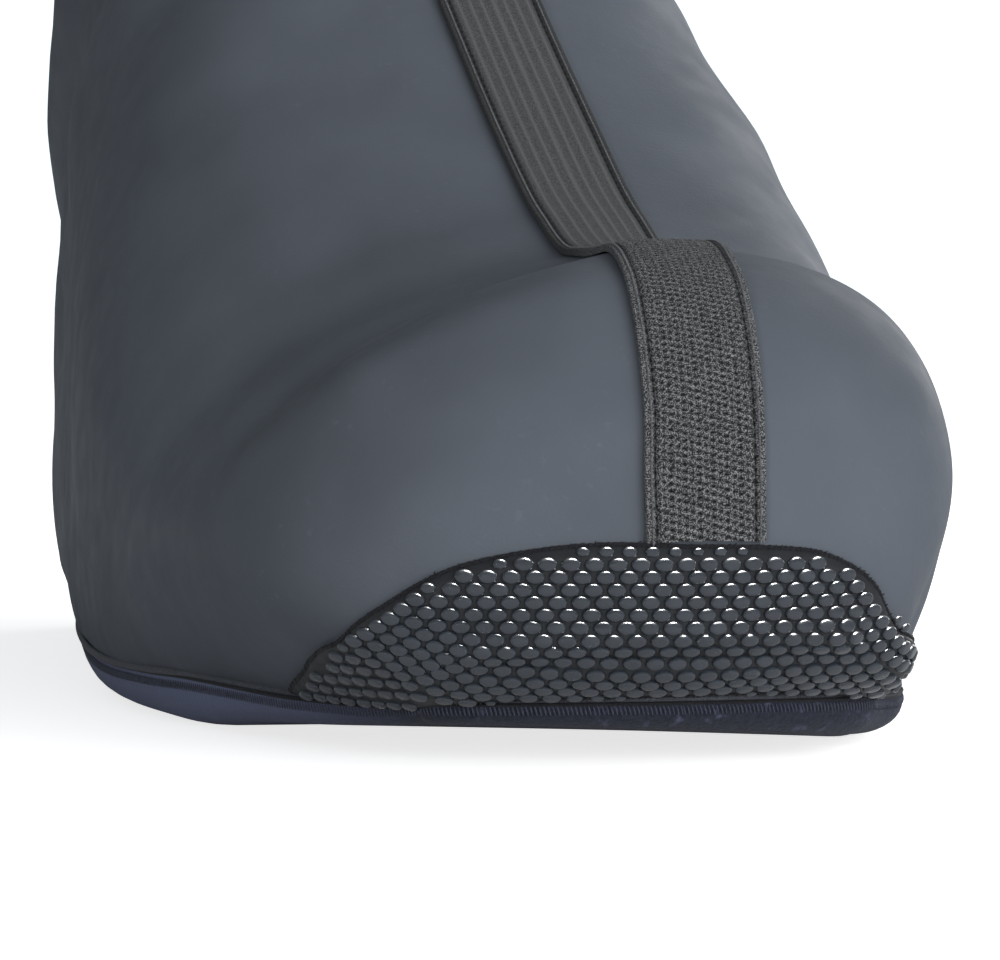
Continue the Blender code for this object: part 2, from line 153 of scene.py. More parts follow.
# Sections fanned from the hem, and then from the back line, to the front centre line, in millimetres
SECTION_COLUMNS = (
    "base_back", "base_z", "ridge_x", "ridge_back", "ridge_z", "lateral", "medial",
    "lateral_girth", "medial_girth", "lateral_crown", "medial_crown", "tuck", "lower",
)
SECTION_ROWS = (
    (24.0, 8.5, 3.0, 12.5, 9.2, 30.1, 34.5, 0.1, 0.10, 1.75, 1.75, 0.9, 0.10),
    (26.0, 8.2, 3.0, 3.5, 18.0, 34.0, 35.8, 0.46, 0.50, 1.9, 2.2, 0.9, 0.28),
    (29.5, 7.8, 3.0, 1.5, 32.5, 42.5, 38.4, 0.44, 0.50, 1.85, 2.4, 0.9, 0.34),
    (36.5, 7.4, 3.5, 4.5, 49.0, 50.0, 44.2, 0.41, 0.50, 1.8, 2.4, 0.9, 0.36),
    (47.0, 7.4, 4.5, 12.0, 61.5, 54.5, 49.0, 0.38, 0.49, 1.74, 2.4, 0.9, 0.36),
    (60.0, 7.7, 6.0, 23.0, 68.8, 57.5, 51.5, 0.36, 0.48, 1.7, 2.5, 0.9, 0.36),
    (76.0, 8.0, 8.0, 38.0, 71.9, 59.5, 53.5, 0.355, 0.47, 1.68, 2.6, 0.9, 0.36),
    (94.0, 7.5, 8.5, 57.0, 71.3, 60.5, 55.5, 0.355, 0.46, 1.72, 2.8, 0.9, 0.36),
    (114.0, 7.1, 8.5, 75.0, 77.0, 60.5, 57.5, 0.37, 0.46, 1.85, 3.0, 0.9, 0.36),
    (138.0, 7.1, 8.0, 96.0, 90.0, 59.5, 59.8, 0.4, 0.46, 2.1, 3.0, 0.9, 0.36),
    (166.0, 8.4, 7.0, 116.0, 105.0, 57.0, 60.0, 0.43, 0.47, 2.3, 3.0, 0.9, 0.36),
    (196.0, 9.5, 6.0, 133.0, 119.0, 54.0, 58.0, 0.46, 0.48, 2.4, 2.8, 0.9, 0.36),
    (226.0, 9.0, 4.5, 147.0, 133.0, 50.2, 55.0, 0.48, 0.49, 2.4, 2.6, 0.8, 0.36),
    (252.0, 8.5, 3.0, 156.5, 144.0, 47.4, 51.8, 0.49, 0.49, 2.3, 2.4, 0.6, 0.36),
    (272.0, 8.0, 2.0, 163.0, 152.5, 45.2, 48.8, 0.50, 0.50, 2.2, 2.2, 0.3, 0.38),
    (285.6, 8.0, 1.0, 167.0, 159.0, 43.8, 46.6, 0.50, 0.50, 2.0, 2.0, 0.0, 0.42),
    (290.0, 36.0, 0.5, 170.0, 165.0, 43.2, 45.2, 0.50, 0.50, 2.0, 2.0, 0.0, 0.44),
    (289.5, 70.0, 0.0, 172.5, 171.0, 43.0, 44.5, 0.50, 0.50, 2.0, 2.0, 0.0, 0.46),
    (285.5, 104.0, 0.0, 174.7, 177.0, 43.2, 44.5, 0.50, 0.50, 2.0, 2.0, 0.0, 0.48),
    (281.8, 138.0, 0.0, 176.3, 182.5, 43.0, 43.6, 0.50, 0.50, 2.0, 2.0, 0.0, 0.50),
    (280.3, 168.0, 0.0, 177.4, 187.0, 42.6, 42.6, 0.50, 0.50, 2.0, 2.0, 0.0, 0.50),
    (280.0, 188.0, 0.0, 178.0, 190.5, 42.2, 42.2, 0.50, 0.50, 2.0, 2.0, 0.0, 0.50),
    (280.0, 202.0, 0.0, 178.0, 202.0, 42.0, 42.0, 0.50, 0.50, 2.0, 2.0, 0.0, 0.50),
)

# Folds that the solids have too: a line on the skin, then reach to each side and height in millimetres
FOLD_COLUMNS = ("from_section", "from_side", "to_section", "to_side", "reach", "height")
FOLD_ROWS = (
    (6.4, -0.14, 5.6, -0.46, 11.0, -1.0),
    (5.0, -0.16, 4.8, -0.56, 13.0, 0.8),
    (7.2, 0.10, 7.2, 0.40, 11.0, -1.8),
    (13.2, -0.55, 13.8, -0.40, 17.0, 2.6),
)

# Finer creases: above the toe cap, behind the toe, over the forefoot, round the ankle and the heel
CREASE_ROWS = (
    (2.35, -0.42, 2.55, -0.06, 5.0, -0.7),
    (2.75, -0.40, 3.05, -0.08, 5.5, 0.6),
    (2.25, 0.12, 3.6, 0.30, 4.5, -0.5),
    (2.6, 0.22, 3.9, 0.36, 5.0, 0.6),
    (6.4, -0.12, 5.8, -0.42, 6.5, -1.2),
    (4.95, -0.13, 4.75, -0.32, 7.0, 0.9),
    (4.75, -0.36, 5.1, -0.50, 7.0, 0.7),
    (3.2, -0.12, 3.3, -0.42, 6.0, -0.5),
    (9.2, -0.16, 9.9, -0.42, 6.0, 0.5),
    (9.8, -0.14, 10.6, -0.44, 6.0, -0.6),
    (10.8, -0.18, 12.0, -0.50, 7.0, 0.7),
    (12.0, -0.30, 13.0, -0.66, 8.0, -0.9),
    (13.5, -0.90, 13.4, -0.65, 15.0, -1.6),
    (16.25, -0.75, 16.25, -0.50, 8.0, -1.6),
    (16.9, -0.75, 16.9, -0.45, 9.0, 1.8),
    (15.7, -0.68, 15.7, -0.54, 8.0, -1.3),
    (16.8, -0.50, 16.8, -0.42, 7.0, -1.6),
    (13.6, -0.22, 14.6, -0.56, 8.0, 0.8),
    (15.0, -0.20, 15.6, -0.60, 8.0, -0.8),
    (9.4, 0.18, 10.2, 0.44, 7.0, 0.6),
    (11.1, 0.17, 11.7, 0.36, 12.0, 2.0),
    (13.0, 0.30, 14.2, 0.70, 8.0, -1.0),
    (14.4, 0.24, 15.6, 0.64, 8.0, 0.8),
    (15.7, 0.92, 16.5, 0.55, 8.0, -0.8),
    (17.2, -0.95, 17.6, -0.60, 7.0, -0.6),
    (17.3, 0.95, 17.7, 0.60, 7.0, -0.6),
)

# Upper edge of the toe cap
CAP_COLUMNS = ("side", "section")
CAP_ROWS = (
    (-1.0, 4.00),
    (-0.9, 3.05),
    (-0.82, 2.50),
    (-0.74, 2.14),
    (-0.65, 2.02),
    (-0.54, 1.98),
    (-0.36, 2.06),
    (-0.2, 2.02),
    (0.0, 1.92),
    (0.17, 1.92),
    (0.29, 1.84),
    (0.39, 1.70),
    (0.47, 1.50),
    (0.56, 1.36),
    (0.7, 1.42),
    (0.85, 1.75),
    (1.0, 2.60),
)

# Underside of the sole along its length, in millimetres; roll is the slope across
TREAD_COLUMNS = ("back", "z", "roll")
TREAD_ROWS = (
    (12.0, 5.4, -0.050),
    (20.0, 4.4, -0.050),
    (36.0, 2.9, -0.036),
    (55.0, 1.6, -0.028),
    (86.0, 0.0, 0.0),
    (130.0, 0.0, 0.0),
    (152.0, 1.2, 0.0),
    (178.0, 3.2, 0.0),
    (205.0, 2.4, 0.0),
    (232.0, 0.0, 0.0),
    (280.0, 0.0, 0.0),
    (290.0, 0.8, 0.0),
)


def named_table(columns, rows):
    """A table's columns by name."""
    return dict(zip(columns, np.array(rows, float).T))


HEM = named_table(HEM_COLUMNS, HEM_ROWS)
SECTION = named_table(SECTION_COLUMNS, SECTION_ROWS)
FOLD = named_table(FOLD_COLUMNS, FOLD_ROWS)
CREASE = named_table(FOLD_COLUMNS, CREASE_ROWS)
CAP = named_table(CAP_COLUMNS, CAP_ROWS)
TREAD = named_table(TREAD_COLUMNS, TREAD_ROWS)
LAST_SECTION = len(SECTION_ROWS) - 1
COLLAR_HEM_SECTION = LAST_SECTION - 1


# Curves and lines of points

def blend(knots, values, x):
    """Smooth curve through the knots that never overshoots them."""
    span = np.diff(knots)
    slope = np.diff(values) / span
    tangent = np.zeros(len(knots))
    tangent[0] = slope[0]
    tangent[-1] = slope[-1]
    for i in range(1, len(knots) - 1):
        if slope[i - 1] * slope[i] > 0.0:
            before = 2.0 * span[i] + span[i - 1]
            after = span[i] + 2.0 * span[i - 1]
            tangent[i] = (before + after) / (before / slope[i - 1] + after / slope[i])
    x = np.clip(x, knots[0], knots[-1])
    i = np.clip(np.searchsorted(knots, x, side="right") - 1, 0, len(knots) - 2)
    f = (x - knots[i]) / span[i]
    start = (1.0 + 2.0 * f) * (1.0 - f) ** 2 * values[i] + f * (1.0 - f) ** 2 * span[i] * tangent[i]
    end = f * f * (3.0 - 2.0 * f) * values[i + 1] + f * f * (f - 1.0) * span[i] * tangent[i + 1]
    return start + end


def smooth_step(low, high, x):
    f = np.clip((x - low) / (high - low), 0.0, 1.0)
    return f * f * (3.0 - 2.0 * f)


def narrow_peak(x, centre, reach):
    return np.exp(-(((x - centre) / reach) ** 2))


def wave(turns):
    """Even wave between 0 and 1."""
    return 0.5 + 0.5 * np.cos(2.0 * np.pi * turns)


def unit(vectors):
    return vectors / np.maximum(np.linalg.norm(vectors, axis=-1, keepdims=True), 1e-12)


def run_along(lines):
    """Distance of each point from the first one of its line."""
    steps = np.linalg.norm(np.diff(lines, axis=-2), axis=-1)
    return np.concatenate([np.zeros(steps.shape[:-1] + (1,)), np.cumsum(steps, axis=-1)], axis=-1)


def even_places(line, pitch, start=0.0):
    """Fractional indices at an even pitch along a line of points."""
    run = run_along(line)
    return np.interp(np.arange(start, run[-1], pitch), run, np.arange(len(line)))


def sample(values, places):
    """Rows of an array at fractional indices."""
    low = np.clip(np.floor(places).astype(int), 0, len(values) - 2)
    f = (places - low)[:, None]
    return values[low] * (1.0 - f) + values[low + 1] * f


# Surface of the shoe: that of the solids, drawn in by up to 3 mm at the toe's corner and the outer hem

def section_value(name, u):
    """A column of the section table at the fractional section u."""
    return blend(np.arange(LAST_SECTION + 1.0), SECTION[name], u)


def plain_skin(u, side):
    """Unfolded outer surface in millimetres, as (x, distance behind the toe, z)."""
    u, side = np.broadcast_arrays(np.asarray(u, float), np.asarray(side, float))
    is_lateral = side < 0.0

    def sided(column):
        lateral = section_value("lateral" + column, u)
        return np.where(is_lateral, lateral, section_value("medial" + column, u))

    base_back = section_value("base_back", u)
    base_z = section_value("base_z", u)
    ridge_x = section_value("ridge_x", u)
    run_back = section_value("ridge_back", u) - base_back
    run_z = section_value("ridge_z", u) - base_z
    rise = np.hypot(run_back, run_z)
    sign = np.where(is_lateral, -1.0, 1.0)
    hem_lateral = blend(HEM["back"], HEM["lateral"], base_back)
    hem_medial = blend(HEM["back"], HEM["medial"], base_back)
    foot = np.where(u < HEEL_SECTION, np.where(is_lateral, hem_lateral, hem_medial), 0.0)
    width = sided("")
    girth = sided("_girth") * rise
    crown = sided("_crown")
    up = 1.0 - np.abs(side)
    lower = section_value("lower", u)
    low = np.clip(up / lower, 0.0, 1.0)
    bend = np.minimum(section_value("tuck", u) * np.maximum(width - foot, 0.0), BEND_LIMIT * girth)
    low_x = sign * ((1.0 - low) ** 2 * foot + (2.0 * low - low * low) * width)
    low_h = 2.0 * low * (1.0 - low) * bend + low * low * girth
    angle = np.clip((up - lower) / (1.0 - lower), 0.0, 1.0) * np.pi / 2.0
    out = np.maximum(np.cos(angle), 0.0) ** (2.0 / crown)
    high_x = sign * width * out + ridge_x * (1.0 - out)
    high_h = girth + (rise - girth) * np.sin(angle) ** (2.0 / crown)
    x = np.where(up < lower, low_x, high_x)
    share = np.where(up < lower, low_h, high_h) / rise
    return np.stack([x, base_back + share * run_back, base_z + share * run_z], -1)


def outward(u, side):
    """Unit normals of the unfolded surface, pointing out of the shoe."""
    step_u = 0.02
    step_side = 0.006
    along = plain_skin(np.clip(u + step_u, 0.0, LAST_SECTION), side)
    along = along - plain_skin(np.clip(u - step_u, 0.0, LAST_SECTION), side)
    across = plain_skin(u, np.clip(side + step_side, -1.0, 1.0))
    across = across - plain_skin(u, np.clip(side - step_side, -1.0, 1.0))
    return unit(np.cross(across, along))


def fold_height(points, folds):
    """Height of soft folds at points of the skin."""
    total = np.zeros(points.shape[:-1])
    starts = plain_skin(folds["from_section"], folds["from_side"])
    ends = plain_skin(folds["to_section"], folds["to_side"])
    for start, end, reach, height in zip(starts, ends, folds["reach"], folds["height"]):
        line = end - start
        share = np.clip((points - start) @ line / (line @ line), 0.0, 1.0)
        distance = np.linalg.norm(points - start - share[..., None] * line, axis=-1)
        total += height * narrow_peak(distance, 0.0, reach)
    return total


def drape(points):
    """Slow unevenness of fabric that is stretched by hand, in millimetres."""
    x, back, z = points[..., 0], points[..., 1], points[..., 2]
    waves = np.sin(0.11 * x + 0.071 * back + 1.3) * np.sin(0.093 * z - 0.048 * back + 0.4)
    ripples = np.sin(0.23 * back - 0.19 * z + 2.1) * np.sin(0.17 * x + 0.13 * z)
    return 0.28 * waves + 0.12 * ripples


def skin(u, side, lift=0.0):
    """Creased outer surface of the upper, raised by lift, in millimetres."""
    u, side = np.broadcast_arrays(np.asarray(u, float), np.asarray(side, float))
    points = plain_skin(u, side)
    above_hem = smooth_step(CREASE_FREE_Z, CREASE_FULL_Z, points[..., 2])
    height = fold_height(points, FOLD) + above_hem * fold_height(points, CREASE) + drape(points) + lift
    return points + outward(u, side) * height[..., None]


def place(points):
    """Metres in the shoe's frame."""
    return (np.asarray(points) + np.array([MIDLINE_SHIFT, -LENGTH / 2.0, 0.0])) * MM


def side_at(u, reaches):
    """Side values at signed distances from the front centre line, a row for each section in u."""
    samples = np.linspace(0.0, 0.5, 201)
    result = np.zeros((len(u), len(reaches)))
    reaches = np.asarray(reaches, float)
    for sign in (-1.0, 1.0):
        run = run_along(plain_skin(u[:, None], sign * samples[None, :]))
        chosen = np.sign(reaches) == sign
        for i in range(len(u)):
            result[i, chosen] = sign * np.interp(np.abs(reaches[chosen]), run[i], samples)
    return result


def cap_section(side):
    """Section that the toe cap's upper edge reaches."""
    return blend(CAP["side"], CAP["section"], side)


def cap_low():
    """Section at which the toe cap begins above the hem."""
    return CAP_RISE / np.linalg.norm(plain_skin(1.0, 0.0) - plain_skin(0.0, 0.0))


def cap_reach(u, side):
    """Side value, without its sign, at which the toe cap ends above the hem."""
    samples = np.linspace(1.0, 0.5, 161)
    reaches = []
    for sign in (-1.0, 1.0):
        run = run_along(plain_skin(np.reshape(u, (-1, 1)), sign * samples[None, :]))
        reaches.append(np.reshape([np.interp(CAP_RISE, row, samples) for row in run], np.shape(u)))
    return np.where(side < 0.0, *reaches)


def cap_grid(columns, rows):
    """Section and side values over the toe cap, from its lower edge to its arched edge."""
    share = np.linspace(-1.0, 1.0, columns)[None, :]
    up = np.linspace(0.0, 1.0, rows)[:, None]
    u = cap_low() + up * (cap_section(share) - cap_low())
    return u, share * cap_reach(u, share)


def cap_top(u, side, lift=0.0):
    """Upper face of the toe cap, with the fold across its front and its puckered corner."""
    front = smooth_step(-0.62, -0.36, side) * (1.0 - smooth_step(0.22, 0.42, side))
    fold = 0.55 * narrow_peak(u, 1.16, 0.15) - 0.75 * narrow_peak(u, 0.88, 0.13)
    pucker = narrow_peak(u, 1.2, 0.22) * narrow_peak(side, 0.27, 0.07)
    return skin(u, side, JOINT_GAP + CAP_THICKNESS + front * fold + pucker + lift)


def hem_halves():
    """Evenly spaced hem line from the toe's centre to the heel's, on the lateral and the medial side."""
    halves = []
    for sign in (-1.0, 1.0):
        front = plain_skin(np.zeros(60), sign * np.linspace(0.0, 1.0, 60))
        rear = plain_skin(HEEL_SECTION * np.linspace(0.0, 1.0, 900)[1:], sign)
        line = np.concatenate([front, rear])
        run = run_along(line)
        places = np.interp(np.linspace(0.0, run[-1], HEM_POINTS), run, np.arange(len(line)))
        halves.append(sample(line, places))
    return halves


def hem_ring():
    """Closed hem line with its smoothed outward normals in plan."""
    lateral, medial = hem_halves()
    loop = np.concatenate([lateral, medial[-2:0:-1]])
    tangent = np.roll(loop, -1, axis=0) - np.roll(loop, 1, axis=0)
    normal = np.stack([-tangent[:, 1], tangent[:, 0], np.zeros(len(loop))], -1)
    for _ in range(NORMAL_SMOOTHING):
        normal = unit(normal)
        normal = normal + 0.5 * (np.roll(normal, 1, axis=0) + np.roll(normal, -1, axis=0))
    return loop, unit(normal)


def tread_z(points):
    """Height of the sole's underside below points."""
    x, back = points[..., 0], points[..., 1]
    return blend(TREAD["back"], TREAD["z"], back) + x * blend(TREAD["back"], TREAD["roll"], back)


def sole_proud(points):
    """How far the sole's edge stands out from the hem."""
    return blend(HEM["back"], HEM["proud"], points[..., 1])


def sole_edge(loop, normal, share):
    """Line on the sole's rounded edge: share 0 at the hem, 1 where the underside begins."""
    wall = loop[:, 2] - JOINT_GAP - tread_z(loop)
    upright = np.clip(share / SOLE_EDGE_UPRIGHT, 0.0, 1.0)
    turn = np.clip((share - SOLE_EDGE_UPRIGHT) / (1.0 - SOLE_EDGE_UPRIGHT), 0.0, 1.0) * np.pi / 2.0
    inset = SOLE_EDGE_SPREAD * wall * (1.0 - math.cos(turn))
    line = loop + (sole_proud(loop) - inset)[:, None] * normal
    rounded = tread_z(line) + SOLE_EDGE_RISE * wall * (1.0 - math.sin(turn))
    top = loop[:, 2] - JOINT_GAP
    line[:, 2] = top + upright * (rounded - top)
    return line


def rounded_outline(size, centre, grow=0.0, corner_points=12):
    """Rounded rectangle in plan, as (x, distance behind the toe)."""
    width, length, radius = size
    outline = []
    for corner, (sign_x, sign_y) in enumerate(((1, 1), (-1, 1), (-1, -1), (1, -1))):
        for turn in np.linspace(0.0, np.pi / 2.0, corner_points) + corner * np.pi / 2.0:
            x = centre[0] + sign_x * (width / 2.0 - radius) + (radius + grow) * math.cos(turn)
            back = centre[1] + sign_y * (length / 2.0 - radius) + (radius + grow) * math.sin(turn)
            outline.append((x, back))
    return np.array(outline)


# Meshes from arrays

def add_mesh(name, vertices, faces, finishes=(), face_finishes=None):
    """Object from vertices in metres, the names of its finishes and a finish number for each face."""
    mesh = bpy.data.meshes.new(name)
    mesh.from_pydata(np.asarray(vertices, float).tolist(), [], [tuple(face) for face in faces])
    for finish in finishes:
        mesh.materials.append(finish_of(finish))
    if face_finishes is not None:
        mesh.polygons.foreach_set("material_index", np.asarray(face_finishes, np.int32))
    mesh.validate()
    mesh.shade_smooth()
    piece = bpy.data.objects.new(name, mesh)
    bpy.context.scene.collection.objects.link(piece)
    return piece


def merge_doubles(piece, distance):
    work = bmesh.new()
    work.from_mesh(piece.data)
    bmesh.ops.remove_doubles(work, verts=work.verts, dist=distance)
    work.to_mesh(piece.data)
    work.free()
    piece.data.shade_smooth()


def apply_modifiers(piece):
    """Replace a piece's mesh by the result of its modifiers."""
    graph = bpy.context.evaluated_depsgraph_get()
    mesh = bpy.data.meshes.new_from_object(piece.evaluated_get(graph))
    piece.modifiers.clear()
    piece.data = mesh
    piece.data.shade_smooth()


def grid_quads(rows, columns):
    """Vertex numbers of a grid's quads."""
    corner = (np.arange(rows - 1)[:, None] * columns + np.arange(columns - 1)[None, :]).ravel()
    return np.stack([corner, corner + 1, corner + columns + 1, corner + columns], -1)


def ring_quads(rings, around, joined=False):
    """Vertex numbers of the quads between rings; joined also ties the last ring to the first."""
    i = np.arange(rings if joined else rings - 1)[:, None]
    j = np.arange(around)[None, :]
    here = i * around
    there = (i + 1) % rings * around
    k = (j + 1) % around
    return np.stack([here + j, here + k, there + k, there + j], -1).reshape(-1, 4)


def turned(quads):
    """The same quads, facing the other way."""
    return quads[:, [0, 3, 2, 1]]


def repeat_faces(faces, copies, size):
    """Faces of several copies of a form that has size vertices."""
    offsets = np.arange(copies)[:, None, None] * size
    return (np.asarray(faces)[None] + offsets).reshape(-1, len(faces[0]))


def sheet_wall(top, bottom):
    """Vertices and quads of a closed wall between two grids of the same size."""
    rows, columns = top.shape[:2]
    count = rows * columns
    vertices = np.concatenate([top.reshape(-1, 3), bottom.reshape(-1, 3)])
    sheet = grid_quads(rows, columns)
    quads = [sheet, sheet[:, ::-1] + count]
    number = np.arange(count).reshape(rows, columns)
    borders = ((number[0], True), (number[-1], False), (number[:, 0], False), (number[:, -1], True))
    for border, flip in borders:
        rim = np.stack([border[:-1], border[1:], border[1:] + count, border[:-1] + count], -1)
        quads.append(rim[:, ::-1] if flip else rim)
    return vertices, np.concatenate(quads)


def ring_spread(turn, first, second):
    """Unit circles spanned by two rows of directions."""
    return np.cos(turn)[:, None] * first[..., None, :] + np.sin(turn)[:, None] * second[..., None, :]


def stitch_arrays(centres, normals, directions, length, radius, arch=0.6):
    """Short thread loops: each rises out of the cloth, runs along its direction and dips in again."""
    rings, around = 6, 6
    along = np.linspace(-0.5, 0.5, rings)
    height = radius * arch * (1.0 - (2.0 * along) ** 2) - 0.35 * radius * (2.0 * along) ** 2
    thick = radius * np.sqrt(np.maximum(1.0 - (1.75 * along) ** 2, 0.12))
    turn = np.linspace(0.0, 2.0 * np.pi, around, endpoint=False)
    normals = unit(normals)
    directions = unit(directions - normals * np.sum(directions * normals, axis=-1, keepdims=True))
    spine = centres[:, None, :] + directions[:, None, :] * (along * length)[None, :, None]
    spine = spine + normals[:, None, :] * height[None, :, None]
    ring = ring_spread(turn, np.cross(normals, directions), normals)
    points = spine[:, :, None, :] + thick[None, :, None, None] * ring[:, None, :, :]
    return points.reshape(-1, 3), repeat_faces(ring_quads(rings, around), len(centres), rings * around)


def stitch_row(u, side, lift, pitch, length, radius):
    """Thread loops at an even pitch along a line on the skin."""
    line = skin(u, side, lift)
    places = even_places(line, pitch)
    normals = sample(outward(u, side), places)
    directions = sample(np.gradient(line, axis=0), places)
    return stitch_arrays(sample(line, places), normals, directions, length, radius)


def tube_arrays(line, normals, radius, closed=False):
    """Tube along a line of points; radius may vary along it."""
    around = 8
    tangent = np.gradient(line, axis=0)
    if closed:
        tangent = np.roll(line, -1, axis=0) - np.roll(line, 1, axis=0)
    tangent = unit(tangent)
    across = unit(np.cross(tangent, normals))
    turn = np.linspace(0.0, 2.0 * np.pi, around, endpoint=False)
    radius = np.broadcast_to(np.asarray(radius, float), (len(line),))
    ring = ring_spread(turn, across, np.cross(across, tangent))
    points = line[:, None, :] + radius[:, None, None] * ring
    return points.reshape(-1, 3), turned(ring_quads(len(line), around, closed))


def add_threads(name, parts, finish, slot):
    """One piece from several arrays of thread."""
    vertices, quads, count = [], [], 0
    for points, faces in parts:
        vertices.append(points)
        quads.append(faces + count)
        count += len(points)
    piece = add_mesh(name, place(np.concatenate(vertices)), np.concatenate(quads), [finish])
    wear(piece, slot)


def wear(piece, slot, *nodes):
    """Let a piece move with the shoe and stand for solids. Its slot is not used."""
    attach(piece, "root")
    if nodes:
        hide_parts(*nodes)


# Finishes

def tint(colour, factor):
    """A colour made lighter or darker, with full cover."""
    return tuple(min(1.0, channel * factor) for channel in colour) + (1.0,)


class Nodes:
    """Nodes of a material or of the world, with short ways to add them."""

    def __init__(self, owner, surface):
        owner.use_nodes = True
        self.tree = owner.node_tree
        self.surface = self.tree.nodes[surface]

    def feed(self, node, inputs):
        """Give a node's inputs plain values or other nodes' outputs."""
        for key, value in inputs.items():
            if isinstance(value, bpy.types.NodeSocket):
                self.tree.links.new(value, node.inputs[key])
            else:
                node.inputs[key].default_value = value

    def dress(self, inputs):
        self.feed(self.surface, inputs)

    def add(self, kind, inputs=None, **settings):
        node = self.tree.nodes.new("ShaderNode" + kind)
        for key, value in settings.items():
            setattr(node, key, value)
        self.feed(node, inputs or {})
        return node

    def where(self):
        """Position on the piece, from one node for the whole tree."""
        node = self.tree.nodes.get("Texture Coordinate") or self.add("TexCoord")
        return node.outputs["Object"]

    def stretched(self, scale, turn=(0.0, 0.0, 0.0)):
        inputs = {"Vector": self.where(), "Scale": scale, "Rotation": turn}
        return self.add("Mapping", inputs).outputs["Vector"]

    def noise(self, scale, detail=3.0, roughness=0.5, where=None):
        where = where or self.where()
        inputs = {"Vector": where, "Scale": scale, "Detail": detail, "Roughness": roughness}
        return self.add("TexNoise", inputs).outputs["Fac"]

    def level(self, value, low, high, to_low, to_high):
        """A value mapped from one range to another."""
        inputs = {"Value": value, "From Min": low, "From Max": high, "To Min": to_low, "To Max": to_high}
        return self.add("MapRange", inputs).outputs["Result"]

    def seen_as(self, unseen, seen):
        """One value for what the camera sees and another for the light that is thrown on."""
        return self.level(self.add("LightPath").outputs["Is Camera Ray"], 0.0, 1.0, unseen, seen)

    def tones(self, value, colour, *stops):
        """Shades of a colour over a value, from (position, brightness) stops."""
        node = self.add("ValToRGB", {"Fac": value})
        elements = node.color_ramp.elements
        while len(elements) < len(stops):
            elements.new(1.0)
        for element, (position, brightness) in zip(elements, stops):
            element.position = position
            element.color = tint(colour, brightness)
        return node.outputs["Color"]

    def mix(self, factor, first, second):
        return self.add("Mix", {0: factor, 6: first, 7: second}, data_type="RGBA").outputs[2]

    def bump(self, height, strength, distance):
        """Fine relief on top of any relief that the surface already has."""
        inputs = {"Height": height, "Strength": strength, "Distance": distance}
        normal = self.surface.inputs["Normal"]
        if normal.is_linked:
            inputs["Normal"] = normal.links[0].from_socket
        self.dress({"Normal": self.add("Bump", inputs).outputs["Normal"]})

    def sheen(self, weight, roughness, colour):
        tinted = tint(colour, 1.0)
        self.dress({"Sheen Weight": weight, "Sheen Roughness": roughness, "Sheen Tint": tinted})


def coated_fabric(nodes, colour):
    """Stretch fabric with a satin coating: fine grain, slow shifts of tone and small rubbed specks."""
    tone = nodes.tones(nodes.noise(28.0, 4.0), colour, (0.3, 0.88), (0.7, 1.12))
    speck = nodes.level(nodes.noise(620.0, 2.0), 0.62, 0.8, 0.0, 1.0)
    # In this finish the rubbed specks are wear, not painted light.
    rubbed_and_painted_light = nodes.level(nodes.noise(60.0, 2.0), 0.5, 0.75, 0.0, 0.35)
    amount = nodes.add("Math", {0: speck, 1: rubbed_and_painted_light}, operation="MULTIPLY").outputs["Value"]
    nodes.dress({
        "Base Color": nodes.mix(amount, tone, tint(colour, 1.9)),
        "Roughness": nodes.level(nodes.noise(150.0), 0.3, 0.7, 0.46, 0.6),
        "Specular IOR Level": 0.08,
    })
    nodes.bump(nodes.noise(2200.0, 2.0), 0.35, 0.00012)
    nodes.bump(nodes.noise(320.0), 0.18, 0.00025)
    nodes.sheen(0.02, 0.4, (0.8, 0.86, 0.95))


def brushed_lining(nodes, colour):
    """Brushed lining inside the upper."""
    nap = nodes.noise(1500.0, where=nodes.stretched((1.0, 1.0, 0.35)))
    nodes.dress({"Base Color": nodes.tones(nap, colour, (0.3, 0.7), (0.7, 1.3)), "Roughness": 0.92})
    nodes.bump(nap, 0.5, 0.0004)
    nodes.sheen(0.1, 0.6, (0.8, 0.82, 0.9))


def moulded_rubber(nodes, colour, roughness, coat):
    """Moulded rubber with a soft gloss."""
    nodes.dress({
        "Base Color": nodes.tones(nodes.noise(260.0, 4.0), colour, (0.3, 0.82), (0.72, 1.2)),
        "Roughness": nodes.level(nodes.noise(420.0), 0.3, 0.7, roughness - 0.07, roughness + 0.1),
        "Specular IOR Level": 0.6,
        "Coat Weight": coat,
        "Coat Roughness": 0.17,
    })
    nodes.bump(nodes.noise(1700.0, 2.0), 0.2, 0.00015)


def knitted_webbing(nodes, colour):
    """Knitted elastic: speckled yarn, pinholes and a stitched channel turned near black as painted shade,
    a darker selvedge, pale ribs and a looser knit over the toe.
    """
    painted_shade_and_selvedge, rib, is_open = (
        nodes.add("Attribute", attribute_name=name).outputs["Fac"]
        for name in ("knit_depth", "knit_rib", "knit_open")
    )
    yarn = nodes.noise(5200.0, 2.0, 0.55)
    close = nodes.tones(yarn, colour, (0.36, 0.4), (0.64, 1.1))
    loose = nodes.tones(yarn, colour, (0.42, 0.3), (0.50, 0.85), (0.60, 3.1))
    ribbed = nodes.mix(rib, nodes.mix(is_open, close, loose), tint(colour, 1.45))
    nodes.dress({
        # Painted shade: pinholes and the sunken channel are mixed towards black; the selvedge's darkening
        # is its own tone.
        "Base Color": nodes.mix(painted_shade_and_selvedge, ribbed, tint(colour, 0.05)),
        "Roughness": 0.88,
        "Specular IOR Level": 0.05,
    })
    nodes.bump(yarn, 0.7, 0.00030)
    nodes.sheen(0.05, 0.5, (0.9, 0.92, 0.95))


